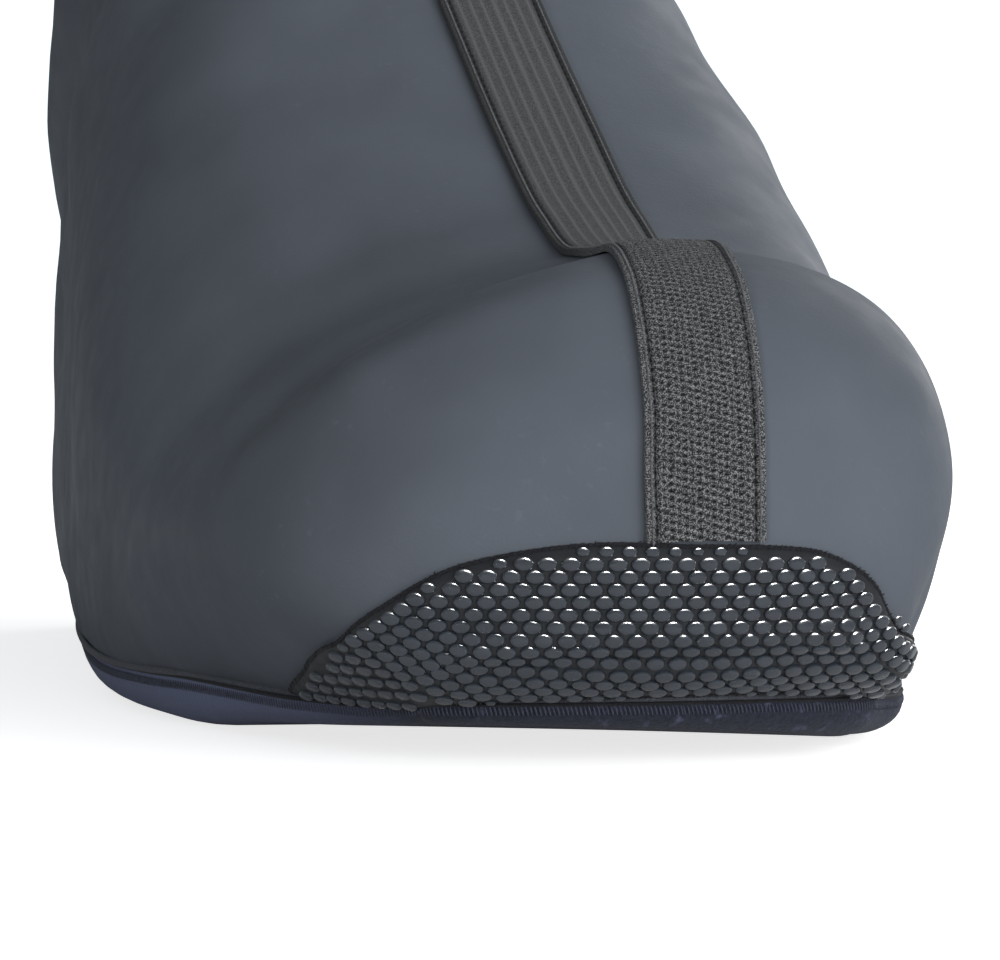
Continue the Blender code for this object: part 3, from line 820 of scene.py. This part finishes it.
def napped_cloth(nodes, colour):
    """Napped sole cloth, lighter towards the lateral side as painted light thrown up from the floor, with
    pale fibres lying across it.
    """
    nap = nodes.noise(1300.0, 4.0, 0.62)
    tone = nodes.tones(nap, colour, (0.3, 0.62), (0.72, 1.55))
    fibres = nodes.noise(520.0, 2.0, where=nodes.stretched((1.0, 0.16, 1.1), (0.55, 0.0, 0.0)))
    # Painted light: the cloth turns lighter towards the lateral side, standing in for light thrown up
    # from the floor.
    across = nodes.add("SeparateXYZ", {0: nodes.where()}).outputs["X"]
    rubbed_and_painted_light = nodes.mix(nodes.level(across, -0.030, -0.050, 0.0, 0.75), tone, tint(colour, 9.5))
    pale = nodes.mix(nodes.level(fibres, 0.62, 0.78, 0.0, 0.34), rubbed_and_painted_light, tint(colour, 11.0))
    nodes.dress({"Base Color": pale, "Roughness": 0.9})
    nodes.bump(nap, 0.55, 0.0004)
    nodes.sheen(0.06, 0.55, (0.75, 0.78, 0.95))


def spun_thread(nodes, colour):
    """Spun thread."""
    twist = nodes.noise(3200.0, 2.0)
    nodes.dress({"Base Color": nodes.tones(twist, colour, (0.3, 0.65), (0.7, 1.45)), "Roughness": 0.8})
    nodes.bump(twist, 0.5, 0.0002)
    nodes.sheen(0.05, 0.5, (0.9, 0.9, 0.95))


def matt_floor(nodes, colour, glow):
    """Matt studio floor that glows for the camera alone, so that it shows white."""
    nodes.dress({
        "Base Color": nodes.tones(nodes.noise(3.0, 2.0), colour, (0.3, 0.985), (0.7, 1.0)),
        "Roughness": 0.9,
        "Specular IOR Level": 0.1,
        "Emission Color": (1.0, 1.0, 1.0, 1.0),
        "Emission Strength": nodes.seen_as(0.0, glow),
    })


# Each finish: the function that makes it, its colour's property and any further values
FINISHES = {
    "satin_panel_fabric": (coated_fabric, "coated_fabric"),
    "brushed_lining": (brushed_lining, "lining"),
    "rubber_dots": (moulded_rubber, "dots", 0.3, 1.0),
    # Painted shade: the ground between the dots is darker than the dots, standing in for shade in the
    # grooves.
    "rubber_ground": (moulded_rubber, "cap", 0.5, 0.1),
    "knitted_webbing": (knitted_webbing, "webbing"),
    "napped_sole_cloth": (napped_cloth, "sole"),
    "black_thread": (spun_thread, "black_thread"),
    "navy_thread": (spun_thread, "navy_thread"),
    "grey_thread": (spun_thread, "grey_thread"),
    "pale_thread": (spun_thread, "pale_thread"),
    "studio_floor": (matt_floor, "floor", 0.74),
}


def finish_of(name):
    """Material by name, made on its first use."""
    material = bpy.data.materials.get(name)
    if material is None:
        make, colour, *values = FINISHES[name]
        material = bpy.data.materials.new(name)
        palette = bpy.context.scene.overshoe_colours
        make(Nodes(material, "Principled BSDF"), tuple(getattr(palette, colour)), *values)
    return material


# Settings

def colour_property(label, note, default):
    return bpy.props.FloatVectorProperty(
        name=label, description=note, subtype="COLOR", size=3, min=0.0, max=1.0, default=default
    )


def place_property(label, note, default):
    return bpy.props.FloatVectorProperty(
        name=label, description=note, subtype="TRANSLATION", default=default
    )


def amount_property(label, note, default, unit="NONE"):
    return bpy.props.FloatProperty(name=label, description=note, default=default, min=0.0, unit=unit)


def length_property(label, note, default):
    return amount_property(label, note, default, "LENGTH")


class OvershoeSizes(bpy.types.PropertyGroup):
    """Sizes of the dressing, in metres."""

    strip_width: length_property("Strip width", "Width of the elastic strip up the front", 0.017)
    knit_pitch: length_property("Knit pitch", "Length of one knitted loop along the strip", 0.00105)
    dot_pitch: length_property("Dot pitch", "Distance between dots along a row of the toe cap", 0.00315)
    dot_row_pitch: length_property("Dot row pitch", "Distance between rows of dots", 0.00168)
    dot_radius: length_property("Dot radius", "Half the width of a raised dot", 0.00141)
    dot_height: length_property("Dot height", "Height of a raised dot", 0.00062)
    stitch_pitch: length_property("Stitch pitch", "Distance between stitches of a sewn row", 0.0021)
    thread_radius: length_property("Thread radius", "Radius of the sewing thread", 0.00028)
    hem_cord_radius: length_property("Hem cord radius", "Radius of the cord along the hem", 0.0006)


class OvershoeColours(bpy.types.PropertyGroup):
    """Base colours of the finishes."""

    coated_fabric: colour_property("Coated fabric", "Panels of the upper", (0.081, 0.091, 0.108))
    lining: colour_property("Lining", "Inside of the upper", (0.030, 0.032, 0.037))
    dots: colour_property("Dots", "Raised dots of the toe cap", (0.019, 0.024, 0.032))
    # Painted shade: darker than the dots, standing in for the shade in the grooves between them.
    cap: colour_property("Cap", "Ground of the toe cap between the dots", (0.012, 0.013, 0.015))
    webbing: colour_property("Webbing", "Elastic strip", (0.076, 0.077, 0.080))
    sole: colour_property("Sole", "Napped cloth of the sole", (0.0125, 0.0145, 0.0235))
    black_thread: colour_property("Black thread", "Seams round the cap", (0.009, 0.009, 0.011))
    navy_thread: colour_property("Navy thread", "Seam along the hem", (0.036, 0.039, 0.056))
    grey_thread: colour_property("Grey thread", "Collar and back seam", (0.050, 0.054, 0.064))
    pale_thread: colour_property("Pale thread", "Beaded stitches along the strip", (0.085, 0.088, 0.094))
    floor: colour_property("Floor", "Studio floor", (0.8, 0.8, 0.805))


class OvershoeStage(bpy.types.PropertyGroup):
    """Camera and light."""

    camera_position: place_property(
        "Camera position", "Place of the camera", (-0.19183, -0.72311, 0.06672)
    )
    camera_target: place_property(
        "Camera target", "Point in the view's middle", (-0.01281, -0.09886, 0.03836)
    )
    camera_roll: bpy.props.FloatProperty(
        name="Camera roll", description="Turn of the camera about its view", subtype="ANGLE",
        default=math.radians(0.5),
    )
    focal_length: amount_property("Focal length", "Lens on a 36 mm wide sensor", 162.0, "CAMERA")
    world_strength: amount_property("World strength", "Light that the white surroundings give", 0.2)
    key_strength: amount_property("Key strength", "Strength of the broad light from the right", 1.9)
    front_strength: amount_property("Front strength", "Strength of the soft light from the front", 3.6)
    softbox_power: amount_property("Softbox power", "Power of the lamp above the toe", 36.0, "POWER")


def sizes():
    return bpy.context.scene.overshoe_sizes


# Pieces

class OVERSHOE_OT_upper(bpy.types.Operator):
    """Creased bootie of coated fabric with a turned collar hem, a welted back seam and a lining"""

    bl_idname = "overshoe.upper"
    bl_label = "Upper"

    def execute(self, context):
        body = np.linspace(0.0, COLLAR_HEM_SECTION, UPPER_ROWS)
        step = COLLAR_HEM_SECTION + np.array([0.03, 0.06])
        hem = np.linspace(COLLAR_HEM_SECTION + 0.12, LAST_SECTION, COLLAR_ROWS)
        u = np.concatenate([body, step, hem])[:, None]
        half = 1.0 - (1.0 - np.linspace(0.0, 1.0, UPPER_HALF_COLUMNS)) ** 1.15
        side = np.concatenate([-half[::-1], half[1:]])[None, :]
        lift = HEM_STEP * smooth_step(COLLAR_HEM_SECTION, COLLAR_HEM_SECTION + 0.06, u)
        lift = lift - COLLAR_ROUNDING * smooth_step(LAST_SECTION - 0.09, LAST_SECTION, u)
        at_back = (u > HEEL_SECTION - 0.5) & (np.abs(side) > 0.7)
        welt = np.exp(-((plain_skin(u, side)[..., 0] / WELT_HALF_WIDTH) ** 4))
        outer = skin(u, side, lift + WELT_HEIGHT * welt * at_back)
        inner = skin(u, side, -WALL)
        closed = u[:, 0] >= HEEL_SECTION
        for grid in (outer, inner):
            middle = 0.5 * (grid[closed, 0] + grid[closed, -1])
            grid[closed, 0] = middle
            grid[closed, -1] = middle
        vertices, quads = sheet_wall(outer, inner)
        block = (outer.shape[0] - 1) * (outer.shape[1] - 1)
        is_inside = np.zeros(len(quads), int)
        is_inside[block:2 * block] = 1
        welded = np.all(np.abs(vertices[quads][:, :, 0]) < 1e-6, axis=1)
        finishes = ("satin_panel_fabric", "brushed_lining")
        piece = add_mesh("upper_shell", place(vertices), quads[~welded], finishes, is_inside[~welded])
        merge_doubles(piece, 0.000004)
        wear(piece, "coated_fabric", "upper")
        return {"FINISHED"}


class OVERSHOE_OT_toe_cap(bpy.types.Operator):
    """Rubber toe cap: a sheet turned under at the toe, with staggered rows of raised round dots"""

    bl_idname = "overshoe.toe_cap"
    bl_label = "Toe cap"

    def execute(self, context):
        self.add_sheet()
        self.add_dots()
        return {"FINISHED"}

    def add_sheet(self):
        u, side = cap_grid(221, 56)
        up = np.linspace(0.0, 1.0, len(u))
        edge = np.minimum(up, 1.0 - up)[:, None]
        top = cap_top(u, side, -0.5 * (1.0 - smooth_step(0.0, 0.05, edge)))
        vertices, quads = sheet_wall(top, skin(u, side, JOINT_GAP))
        piece = add_mesh("toe_cap_sheet", place(vertices), quads, ["rubber_ground"])
        wear(piece, "dotted_rubber", "toe_cap")

    def dot_places(self, pitch, row_pitch):
        """Sections, sides and headings of dots in rows that are even in front and level at the sides."""
        profile = plain_skin(np.linspace(0.0, 2.2, 400), 0.0)
        run = run_along(profile)
        sides = np.linspace(-0.985, 0.985, 700)
        levels = np.linspace(0.0, 4.15, 240)
        heights = np.maximum.accumulate(plain_skin(levels[:, None], sides[None, :])[..., 2], axis=0)
        z = np.linspace(profile[0, 2], profile[-1, 2], 300)
        flank = smooth_step(0.4, 0.75, np.abs(sides))[:, None]
        climb = (1.0 - flank) * np.interp(z, profile[:, 2], run) + flank * (z - z[0])
        places, headings = [], []
        for k, distance in enumerate(np.arange(FIRST_DOT_ROW, run[-1], row_pitch)):
            row_z = [np.interp(distance, column, z) for column in climb]
            u = np.array([np.interp(h, column, levels) for h, column in zip(row_z, heights.T)])
            line = plain_skin(u, sides)
            length = run_along(line)
            first = (np.interp(0.0, sides, length) + (0.5 * pitch if k % 2 else 0.0)) % pitch
            at = np.interp(np.arange(first, length[-1], pitch), length, np.arange(len(length)))
            places.append(sample(np.stack([u, sides], -1), at))
            headings.append(sample(np.gradient(line, axis=0), at))
        return *np.concatenate(places).T, np.concatenate(headings)

    def add_dots(self):
        size = sizes()
        radius = size.dot_radius / MM
        u, side, heading = self.dot_places(size.dot_pitch / MM, size.dot_row_pitch / MM)
        edge_u, edge_side = cap_grid(241, 3)
        rim = plain_skin(edge_u[[0, -1]], edge_side[[0, -1]]).reshape(1, -1, 3)
        clear = np.min(np.linalg.norm(plain_skin(u, side)[:, None, :] - rim, axis=2), axis=1)
        kept = (u < cap_section(side)) & (u > cap_low())
        kept &= (np.abs(side) < cap_reach(u, side)) & (clear > DOT_CLEARANCE)
        u, side, heading = u[kept], side[kept], heading[kept]
        scale = np.clip((clear[kept] + 0.15) / radius, 0.45, 1.0)[:, None, None]
        centre = cap_top(u, side)
        normal = unit(np.cross(cap_top(u, side + 0.01) - centre, cap_top(u + 0.02, side) - centre))
        across = unit(heading - normal * np.sum(heading * normal, axis=1, keepdims=True))
        turn = np.linspace(0.0, 2.0 * np.pi, DOT_SIDES, endpoint=False)
        spread = radius * ring_spread(turn, across, DOT_FLATNESS * np.cross(normal, across))
        rise = size.dot_height / MM * normal[:, None, :]
        rings = [reach * spread + up * rise for reach, up in DOT_PROFILE]
        points = centre[:, None, :] + scale * np.concatenate(rings + [rise], axis=1)
        dots, count = points.shape[:2]
        last = count - 1 - DOT_SIDES
        tips = [(last + j, last + (j + 1) % DOT_SIDES, count - 1) for j in range(DOT_SIDES)]
        faces = repeat_faces(ring_quads(len(DOT_PROFILE), DOT_SIDES), dots, count).tolist()
        faces += repeat_faces(tips, dots, count).tolist()
        piece = add_mesh("toe_cap_dots", place(points.reshape(-1, 3)), faces, ["rubber_dots"])
        wear(piece, "dotted_rubber")


class OVERSHOE_OT_front_strip(bpy.types.Operator):
    """Knitted elastic strip: pinholes over the toe, fine ribs up the instep and stitched selvedges"""

    bl_idname = "overshoe.front_strip"
    bl_label = "Front strip"

    def execute(self, context):
        size = sizes()
        half = 0.5 * size.strip_width / MM
        step = 0.25 * size.knit_pitch / MM
        coarse = np.linspace(cap_section(0.0) + 0.05, COLLAR_HEM_SECTION - 0.03, 600)
        places = even_places(plain_skin(coarse, 0.0), step)
        u = np.interp(places, np.arange(len(coarse)), coarse)
        band = half - STRIP_SELVEDGE
        edge = np.array([0.0, 0.06, 0.35, 0.65, 0.9, 1.15, 1.4, 1.55])
        inner = np.linspace(-band, band, STRIP_RIBS * 8 + 1)
        across = np.concatenate([-half + edge, inner, half - edge[::-1]])
        lift, marks = self.knit(np.arange(len(u))[:, None] * step, across[None, :], half, 4.0 * step)
        points = skin(u[:, None], side_at(u, across), lift)
        quads = grid_quads(*points.shape[:2])
        piece = add_mesh("front_strip_knit", place(points.reshape(-1, 3)), quads, ["knitted_webbing"])
        for name, values in marks.items():
            values = np.clip(np.broadcast_to(values, points.shape[:2]), 0.0, 1.0)
            layer = piece.data.attributes.new(name, "FLOAT", "POINT")
            layer.data.foreach_set("value", values.astype(np.float32).ravel())
        wear(piece, "elastic_webbing", "front_strip")
        self.add_stitches(u, half)
        return {"FINISHED"}

    def knit(self, run, across, half, loop):
        """Height of the knit above the skin, and its marks for the finish, among them the painted shade
        of its pinholes and channel.
        """
        band = half - STRIP_SELVEDGE
        v = run / loop
        rib = STRIP_RIBS * (across + band) / (2.0 * band)
        number = np.floor(rib)
        column = rib - number
        out = np.abs(across)
        inside = (out < band).astype(float)
        toe = 1.0 - smooth_step(*OPEN_KNIT_END, run)
        bulge = np.sin(np.pi * column) ** 2
        chevron = wave(v + 0.5 * np.abs(column - 0.5) + 0.5 * (number % 2.0))
        ridge = narrow_peak(column, 0.5, 0.13)
        hole = narrow_peak(rib, np.round(rib), 0.19) * wave(v + 0.5 * (np.round(rib) % 2.0)) ** 2
        hole = hole + 0.9 * ridge * wave(v + 0.5 * (number % 2.0) + 0.25) ** 2
        channel = narrow_peak(out, half - CHANNEL_INSET, 0.26)
        needle = channel * wave(run / NEEDLE_PITCH) ** 2
        selvedge = smooth_step(half - CHANNEL_INSET, half - BEAD_INSET, out)
        loops = inside * toe * (0.05 * bulge + 0.06 * chevron * bulge - 0.35 * hole)
        ribs = inside * (1.0 - toe) * (0.14 * ridge + 0.03 * chevron)
        lift = JOINT_GAP + STRIP_THICKNESS - 0.3 + loops + ribs - 0.25 * channel
        edge = (0.42 - 0.25 * toe) * selvedge
        # Painted shade for the sunken pinholes and channel, with dark needle dots in the channel, plus
        # the selvedge's own darker tone.
        painted_shade_and_selvedge = inside * toe * 2.2 * hole + 0.75 * channel + 0.4 * needle + edge
        marks = {
            "knit_depth": painted_shade_and_selvedge,
            "knit_rib": inside * (1.0 - toe) * 0.75 * ridge,
            "knit_open": toe,
        }
        return np.where(out > half - 0.001, JOINT_GAP, lift), marks

    def add_stitches(self, u, half):
        """A row of fine beaded stitches along each edge."""
        rows = []
        for sign in (-1.0, 1.0):
            side = side_at(u, [sign * (half - BEAD_INSET)])[:, 0]
            lift = JOINT_GAP + STRIP_THICKNESS - BEAD_SINK
            radius = 0.6 * sizes().thread_radius / MM
            rows.append(stitch_row(u, side, lift, BEAD_PITCH, BEAD_LENGTH, radius))
        add_threads("front_strip_stitches", rows, "pale_thread", "elastic_webbing")


class OVERSHOE_OT_sole(bpy.types.Operator):
    """Tray of napped navy cloth under the foot, with bound openings for the cleat and the heel"""

    bl_idname = "overshoe.sole"
    bl_label = "Sole panel"

    def execute(self, context):
        piece = add_mesh("sole_panel_cloth", *self.cloth(), ["napped_sole_cloth"])
        wall = piece.modifiers.new("wall", "SOLIDIFY")
        wall.thickness = SOLE_WALL * MM
        wall.offset = -1.0
        cutters = []
        for name, opening in SOLE_OPENINGS.items():
            cut = piece.modifiers.new(name, "BOOLEAN")
            cut.operation = "DIFFERENCE"
            cut.solver = "EXACT"
            cut.object = self.add_cutter(name, *opening)
            cutters.append(cut.object)
        apply_modifiers(piece)
        for cutter in cutters:
            bpy.data.objects.remove(cutter, do_unlink=True)
        wear(piece, "navy_sole_fabric", "sole_panel")
        self.add_bindings()
        return {"FINISHED"}

    def cloth(self):
        """Vertices and faces of the tray: rings round its edge, then rows across its floor."""
        loop, normal = hem_ring()
        count = len(loop)
        rings = [sole_edge(loop, normal, share) for share in np.linspace(0.0, 1.0, SOLE_EDGE_RINGS)]
        inner = rings[-1] - 3.0 * normal
        inner[:, 2] = tread_z(inner)
        rings.append(inner)
        share = np.linspace(0.0, 1.0, SOLE_CROSS_POINTS + 2)[1:-1, None]
        across = []
        for i in range(1, HEM_POINTS - 1):
            row = inner[i] + share * (inner[count - i] - inner[i])
            row[:, 2] = tread_z(row)
            across.append(row)
        inner_start = (len(rings) - 1) * count
        across_start = len(rings) * count
        rows = []
        for i in range(1, HEM_POINTS - 1):
            start = across_start + (i - 1) * SOLE_CROSS_POINTS
            middle = range(start, start + SOLE_CROSS_POINTS)
            rows.append([inner_start + i, *middle, inner_start + count - i])
        faces = ring_quads(len(rings), count).tolist()
        for here, there in zip(rows[:-1], rows[1:]):
            faces += zip(here[:-1], there[:-1], there[1:], here[1:])
        for tip, row in ((inner_start, rows[0]), (inner_start + HEM_POINTS - 1, rows[-1][::-1])):
            faces += [(tip, first, second) for first, second in zip(row[:-1], row[1:])]
        return place(np.concatenate(rings + across)), faces

    def add_cutter(self, name, size, centre):
        outline = rounded_outline(size, centre)
        count = len(outline)
        walls = [np.column_stack([outline, np.full(count, z)]) for z in (-20.0, 20.0)]
        faces = ring_quads(2, count).tolist()
        faces += [tuple(range(count))[::-1], tuple(range(count, 2 * count))]
        return add_mesh(name + "_cutter", place(np.concatenate(walls)), faces)

    def add_bindings(self):
        """Overlocked thread round the edges of the openings."""
        rows = []
        for size, centre in SOLE_OPENINGS.values():
            outline = rounded_outline(size, centre, BINDING_OUT)
            line = np.column_stack([outline, np.zeros(len(outline))])
            line = np.concatenate([line, line[:1]])
            centres = sample(line, even_places(line, BINDING_PITCH))
            centres[:, 2] = tread_z(centres) + 0.25
            outwards = unit(np.column_stack([centres[:, :2] - np.array(centre), np.zeros(len(centres))]))
            down = np.tile([0.0, 0.0, -1.0], (len(centres), 1))
            slanted = outwards + 0.35 * np.cross(down, outwards)
            radius = sizes().thread_radius / MM
            rows.append(stitch_arrays(centres, down, slanted, BINDING_LENGTH, radius, 0.3))
        add_threads("sole_opening_stitches", rows, "navy_thread", "navy_sole_fabric")


class OVERSHOE_OT_seams(bpy.types.Operator):
    """Sewn seams: round the toe cap, along the hem, on the collar hem and down the back"""

    bl_idname = "overshoe.seams"
    bl_label = "Seams"

    def execute(self, context):
        self.thread = sizes().thread_radius / MM
        self.add_cap_seam()
        self.add_hem_seam()
        self.add_collar_rows()
        self.add_back_rows()
        return {"FINISHED"}

    def add_cap_seam(self):
        """Black overlock round the cap: a fuzzy cord under slanted loops."""
        u, side = cap_grid(601, 3)
        parts = []
        fuzz = np.random.default_rng(CAP_FUZZ_SEED)
        for row, lift, width in ((-1, 0.9, 0.34), (0, 1.0, 0.3)):
            line = skin(u[row], side[row], lift)
            normals = outward(u[row], side[row])
            radius = width + 0.05 * np.sin(np.arange(len(line)) * 1.9)
            radius = radius + 0.03 * fuzz.standard_normal(len(line))
            parts.append(tube_arrays(line, normals, radius))
            places = even_places(line, CAP_LOOP_PITCH, 0.3)
            centres = sample(line, places)
            normal = unit(sample(normals, places))
            tangent = unit(sample(np.gradient(line, axis=0), places))
            across = np.cross(normal, tangent)
            slant = across + 0.9 * tangent * fuzz.uniform(0.4, 1.4, (len(centres), 1))
            centres = centres + normal * 0.25 + across * 0.1 * fuzz.standard_normal((len(centres), 1))
            radius = 0.42 * self.thread
            parts.append(stitch_arrays(centres, normal, slant, CAP_LOOP_LENGTH, radius, 0.2))
        add_threads("toe_cap_seam", parts, "black_thread", "dotted_rubber")

    def add_hem_seam(self):
        """Cord along the hem, and a dark line and overlock teeth on the top of the sole's edge."""
        loop, normal = hem_ring()
        up = np.tile([0.0, 0.0, 1.0], (len(loop), 1))
        cord = loop + normal * HEM_CORD_OUT
        cord[:, 2] += HEM_CORD_UP
        cord = tube_arrays(cord, up, sizes().hem_cord_radius / MM, True)
        add_threads("hem_cord", [cord], "grey_thread", "coated_fabric")
        seam = loop + normal * (sole_proud(loop) - 0.1)[:, None]
        seam[:, 2] -= 0.2
        seam = tube_arrays(seam, up, HEM_LINE_RADIUS, True)
        add_threads("hem_seam_line", [seam], "black_thread", "navy_sole_fabric")
        edge = sole_edge(loop, normal, 0.35 * SOLE_EDGE_UPRIGHT) + normal * 0.05
        line = np.concatenate([edge, edge[:1]])
        places = even_places(line, HEM_TOOTH_PITCH)
        normals = unit(sample(np.concatenate([normal, normal[:1]]), places))
        tangent = unit(sample(np.gradient(line, axis=0), places))
        centres = sample(line, places)
        centres[:, 2] -= 0.55
        lean = np.array([0.0, 0.0, 1.0]) + 0.3 * tangent
        teeth = stitch_arrays(centres, normals, lean, HEM_TOOTH_LENGTH, 0.5 * self.thread, 0.4)
        add_threads("hem_stitches", [teeth], "navy_thread", "navy_sole_fabric")

    def stitched(self, u, side, lift):
        return stitch_row(u, side, lift, sizes().stitch_pitch / MM, STITCH_LENGTH, self.thread)

    def add_collar_rows(self):
        """Twin stitch rows on the turned collar hem."""
        side = np.linspace(-1.0, 1.0, 500)
        rows = []
        for rise in COLLAR_ROW_RISES:
            u = np.full(side.size, COLLAR_HEM_SECTION + rise)
            rows.append(self.stitched(u, side, HEM_STEP + 0.02))
        add_threads("collar_stitches", rows, "grey_thread", "coated_fabric")

    def add_back_rows(self):
        """Stitch rows on both sides of the back seam."""
        u = np.linspace(HEEL_SECTION + 0.05, COLLAR_HEM_SECTION - 0.02, 400)
        samples = np.linspace(1.0, 0.7, 121)
        rows = []
        for sign in (-1.0, 1.0):
            reaches = np.abs(plain_skin(u[:, None], sign * samples[None, :])[..., 0])
            side = np.array([sign * np.interp(BACK_STITCH_REACH, row, samples) for row in reaches])
            rows.append(self.stitched(u, side, 0.42))
        add_threads("back_seam_stitches", rows, "grey_thread", "coated_fabric")


class OVERSHOE_OT_stage(bpy.types.Operator):
    """Pale floor, soft lights and the camera at the photograph's angle"""

    bl_idname = "overshoe.stage"
    bl_label = "Stage"

    def execute(self, context):
        scene = context.scene
        stage = scene.overshoe_stage
        scene.view_settings.view_transform = "Standard"
        self.add_floor()
        self.add_world(scene, stage.world_strength)
        self.add_lights(stage)
        self.add_camera(scene, stage)
        return {"FINISHED"}

    def add_floor(self):
        """Round floor, finer near the shoe."""
        rings, around = 33, 96
        turn = np.linspace(0.0, 2.0 * np.pi, around, endpoint=False)
        circle = np.stack([np.cos(turn), np.sin(turn), np.zeros(around)], -1)
        radii = FLOOR_RADIUS * np.linspace(0.02, 1.0, rings) ** 2
        points = np.concatenate([np.zeros((1, 3)), (radii[:, None, None] * circle).reshape(-1, 3)])
        faces = [(0, 1 + j, 1 + (j + 1) % around) for j in range(around)]
        faces += (turned(ring_quads(rings, around)) + 1).tolist()
        add_mesh("studio_floor", points, faces, ["studio_floor"])

    def add_world(self, scene, strength):
        """Cool white surroundings that light the shoe less than they show behind it."""
        scene.world = scene.world or bpy.data.worlds.new("studio")
        nodes = Nodes(scene.world, "Background")
        shown = nodes.seen_as(strength, WORLD_SHOWN)
        nodes.dress({"Color": tint(WORLD_COLOUR, 1.0), "Strength": shown})

    def add_lights(self, stage):
        """Diffuse light from the right and the front, and a lamp above that makes the dots glint."""
        key = self.add_sun("key_light", (0.8, -0.5, 0.34), 60.0, stage.key_strength)
        front = self.add_sun("front_light", (0.3, -0.95, 0.06), 50.0, stage.front_strength)
        above = self.add_softbox(
            "overhead_softbox", (0.14, -0.26, 0.6), (0.0, -0.13, 0.03), (0.4, 0.3), stage.softbox_power
        )
        low = self.add_softbox(
            "front_left_softbox", (-0.6, -1.0, 0.06), (-0.03, -0.08, 0.02), (0.35, 0.1), 4.2
        )
        self.add_softbox(
            "rear_right_softbox", (0.75, 0.55, 0.45), (0.02, 0.0, 0.09), (0.5, 0.7), 3.0
        )
        for lamp in (key, front, low):
            lamp.visible_glossy = False
        above.visible_diffuse = False
        dots = bpy.data.collections.new("dots_lit_from_above")
        dots.objects.link(bpy.data.objects["toe_cap_dots"])
        above.light_linking.receiver_collection = dots

    def add_lamp(self, lamp, power, direction, position=(0.0, 0.0, 0.0)):
        lamp.energy = power
        item = bpy.data.objects.new(lamp.name, lamp)
        item.location = position
        item.rotation_euler = direction.to_track_quat("-Z", "Y").to_euler()
        bpy.context.scene.collection.objects.link(item)
        return item

    def add_sun(self, name, towards, spread, strength):
        lamp = bpy.data.lights.new(name, "SUN")
        lamp.angle = math.radians(spread)
        return self.add_lamp(lamp, strength, -Vector(towards))

    def add_softbox(self, name, position, target, size, power):
        lamp = bpy.data.lights.new(name, "AREA")
        lamp.shape = "RECTANGLE"
        lamp.size, lamp.size_y = size
        return self.add_lamp(lamp, power, Vector(target) - Vector(position), position)

    def add_camera(self, scene, stage):
        position = Vector(stage.camera_position)
        back = (position - Vector(stage.camera_target)).normalized()
        right = Vector((0.0, 0.0, 1.0)).cross(back).normalized()
        up = back.cross(right)
        roll = stage.camera_roll
        tilted_right = right * math.cos(roll) + up * math.sin(roll)
        tilted_up = up * math.cos(roll) - right * math.sin(roll)
        lens = bpy.data.cameras.new("photo_camera")
        lens.sensor_fit = "HORIZONTAL"
        lens.sensor_width = SENSOR_WIDTH
        lens.lens = stage.focal_length
        lens.clip_start = 0.01
        lens.clip_end = 50.0
        item = bpy.data.objects.new("photo_camera", lens)
        turn = Matrix((tilted_right, tilted_up, back)).transposed()
        item.matrix_world = Matrix.Translation(position) @ turn.to_4x4()
        scene.collection.objects.link(item)
        scene.camera = item


class OVERSHOE_PT_panel(bpy.types.Panel):
    """Pieces of the overshoe in the order in which they are built"""

    bl_idname = "OVERSHOE_PT_panel"
    bl_label = "Cycling Overshoe"
    bl_space_type = "VIEW_3D"
    bl_region_type = "UI"
    bl_category = "Overshoe"

    def draw(self, context):
        layout = self.layout
        for operator in PIECES:
            layout.operator(operator.bl_idname)
        for group in SETTINGS:
            box = layout.box()
            settings = getattr(context.scene, group)
            for name in settings.bl_rna.properties.keys():
                if name not in ("rna_type", "name"):
                    box.prop(settings, name)


PIECES = (
    OVERSHOE_OT_upper,
    OVERSHOE_OT_toe_cap,
    OVERSHOE_OT_front_strip,
    OVERSHOE_OT_sole,
    OVERSHOE_OT_seams,
    OVERSHOE_OT_stage,
)
SETTINGS = {
    "overshoe_sizes": OvershoeSizes,
    "overshoe_colours": OvershoeColours,
    "overshoe_stage": OvershoeStage,
}
CLASSES = (*SETTINGS.values(), *PIECES, OVERSHOE_PT_panel)


def register():
    for item in CLASSES:
        bpy.utils.register_class(item)
    for name, group in SETTINGS.items():
        setattr(bpy.types.Scene, name, bpy.props.PointerProperty(type=group))


def unregister():
    for name in SETTINGS:
        delattr(bpy.types.Scene, name)
    for item in reversed(CLASSES):
        bpy.utils.unregister_class(item)


def main():
    register()
    bpy.ops.overshoe.upper()
    bpy.ops.overshoe.toe_cap()
    bpy.ops.overshoe.front_strip()
    bpy.ops.overshoe.sole()
    bpy.ops.overshoe.seams()
    bpy.ops.overshoe.stage()


if __name__ == "__main__":
    main()
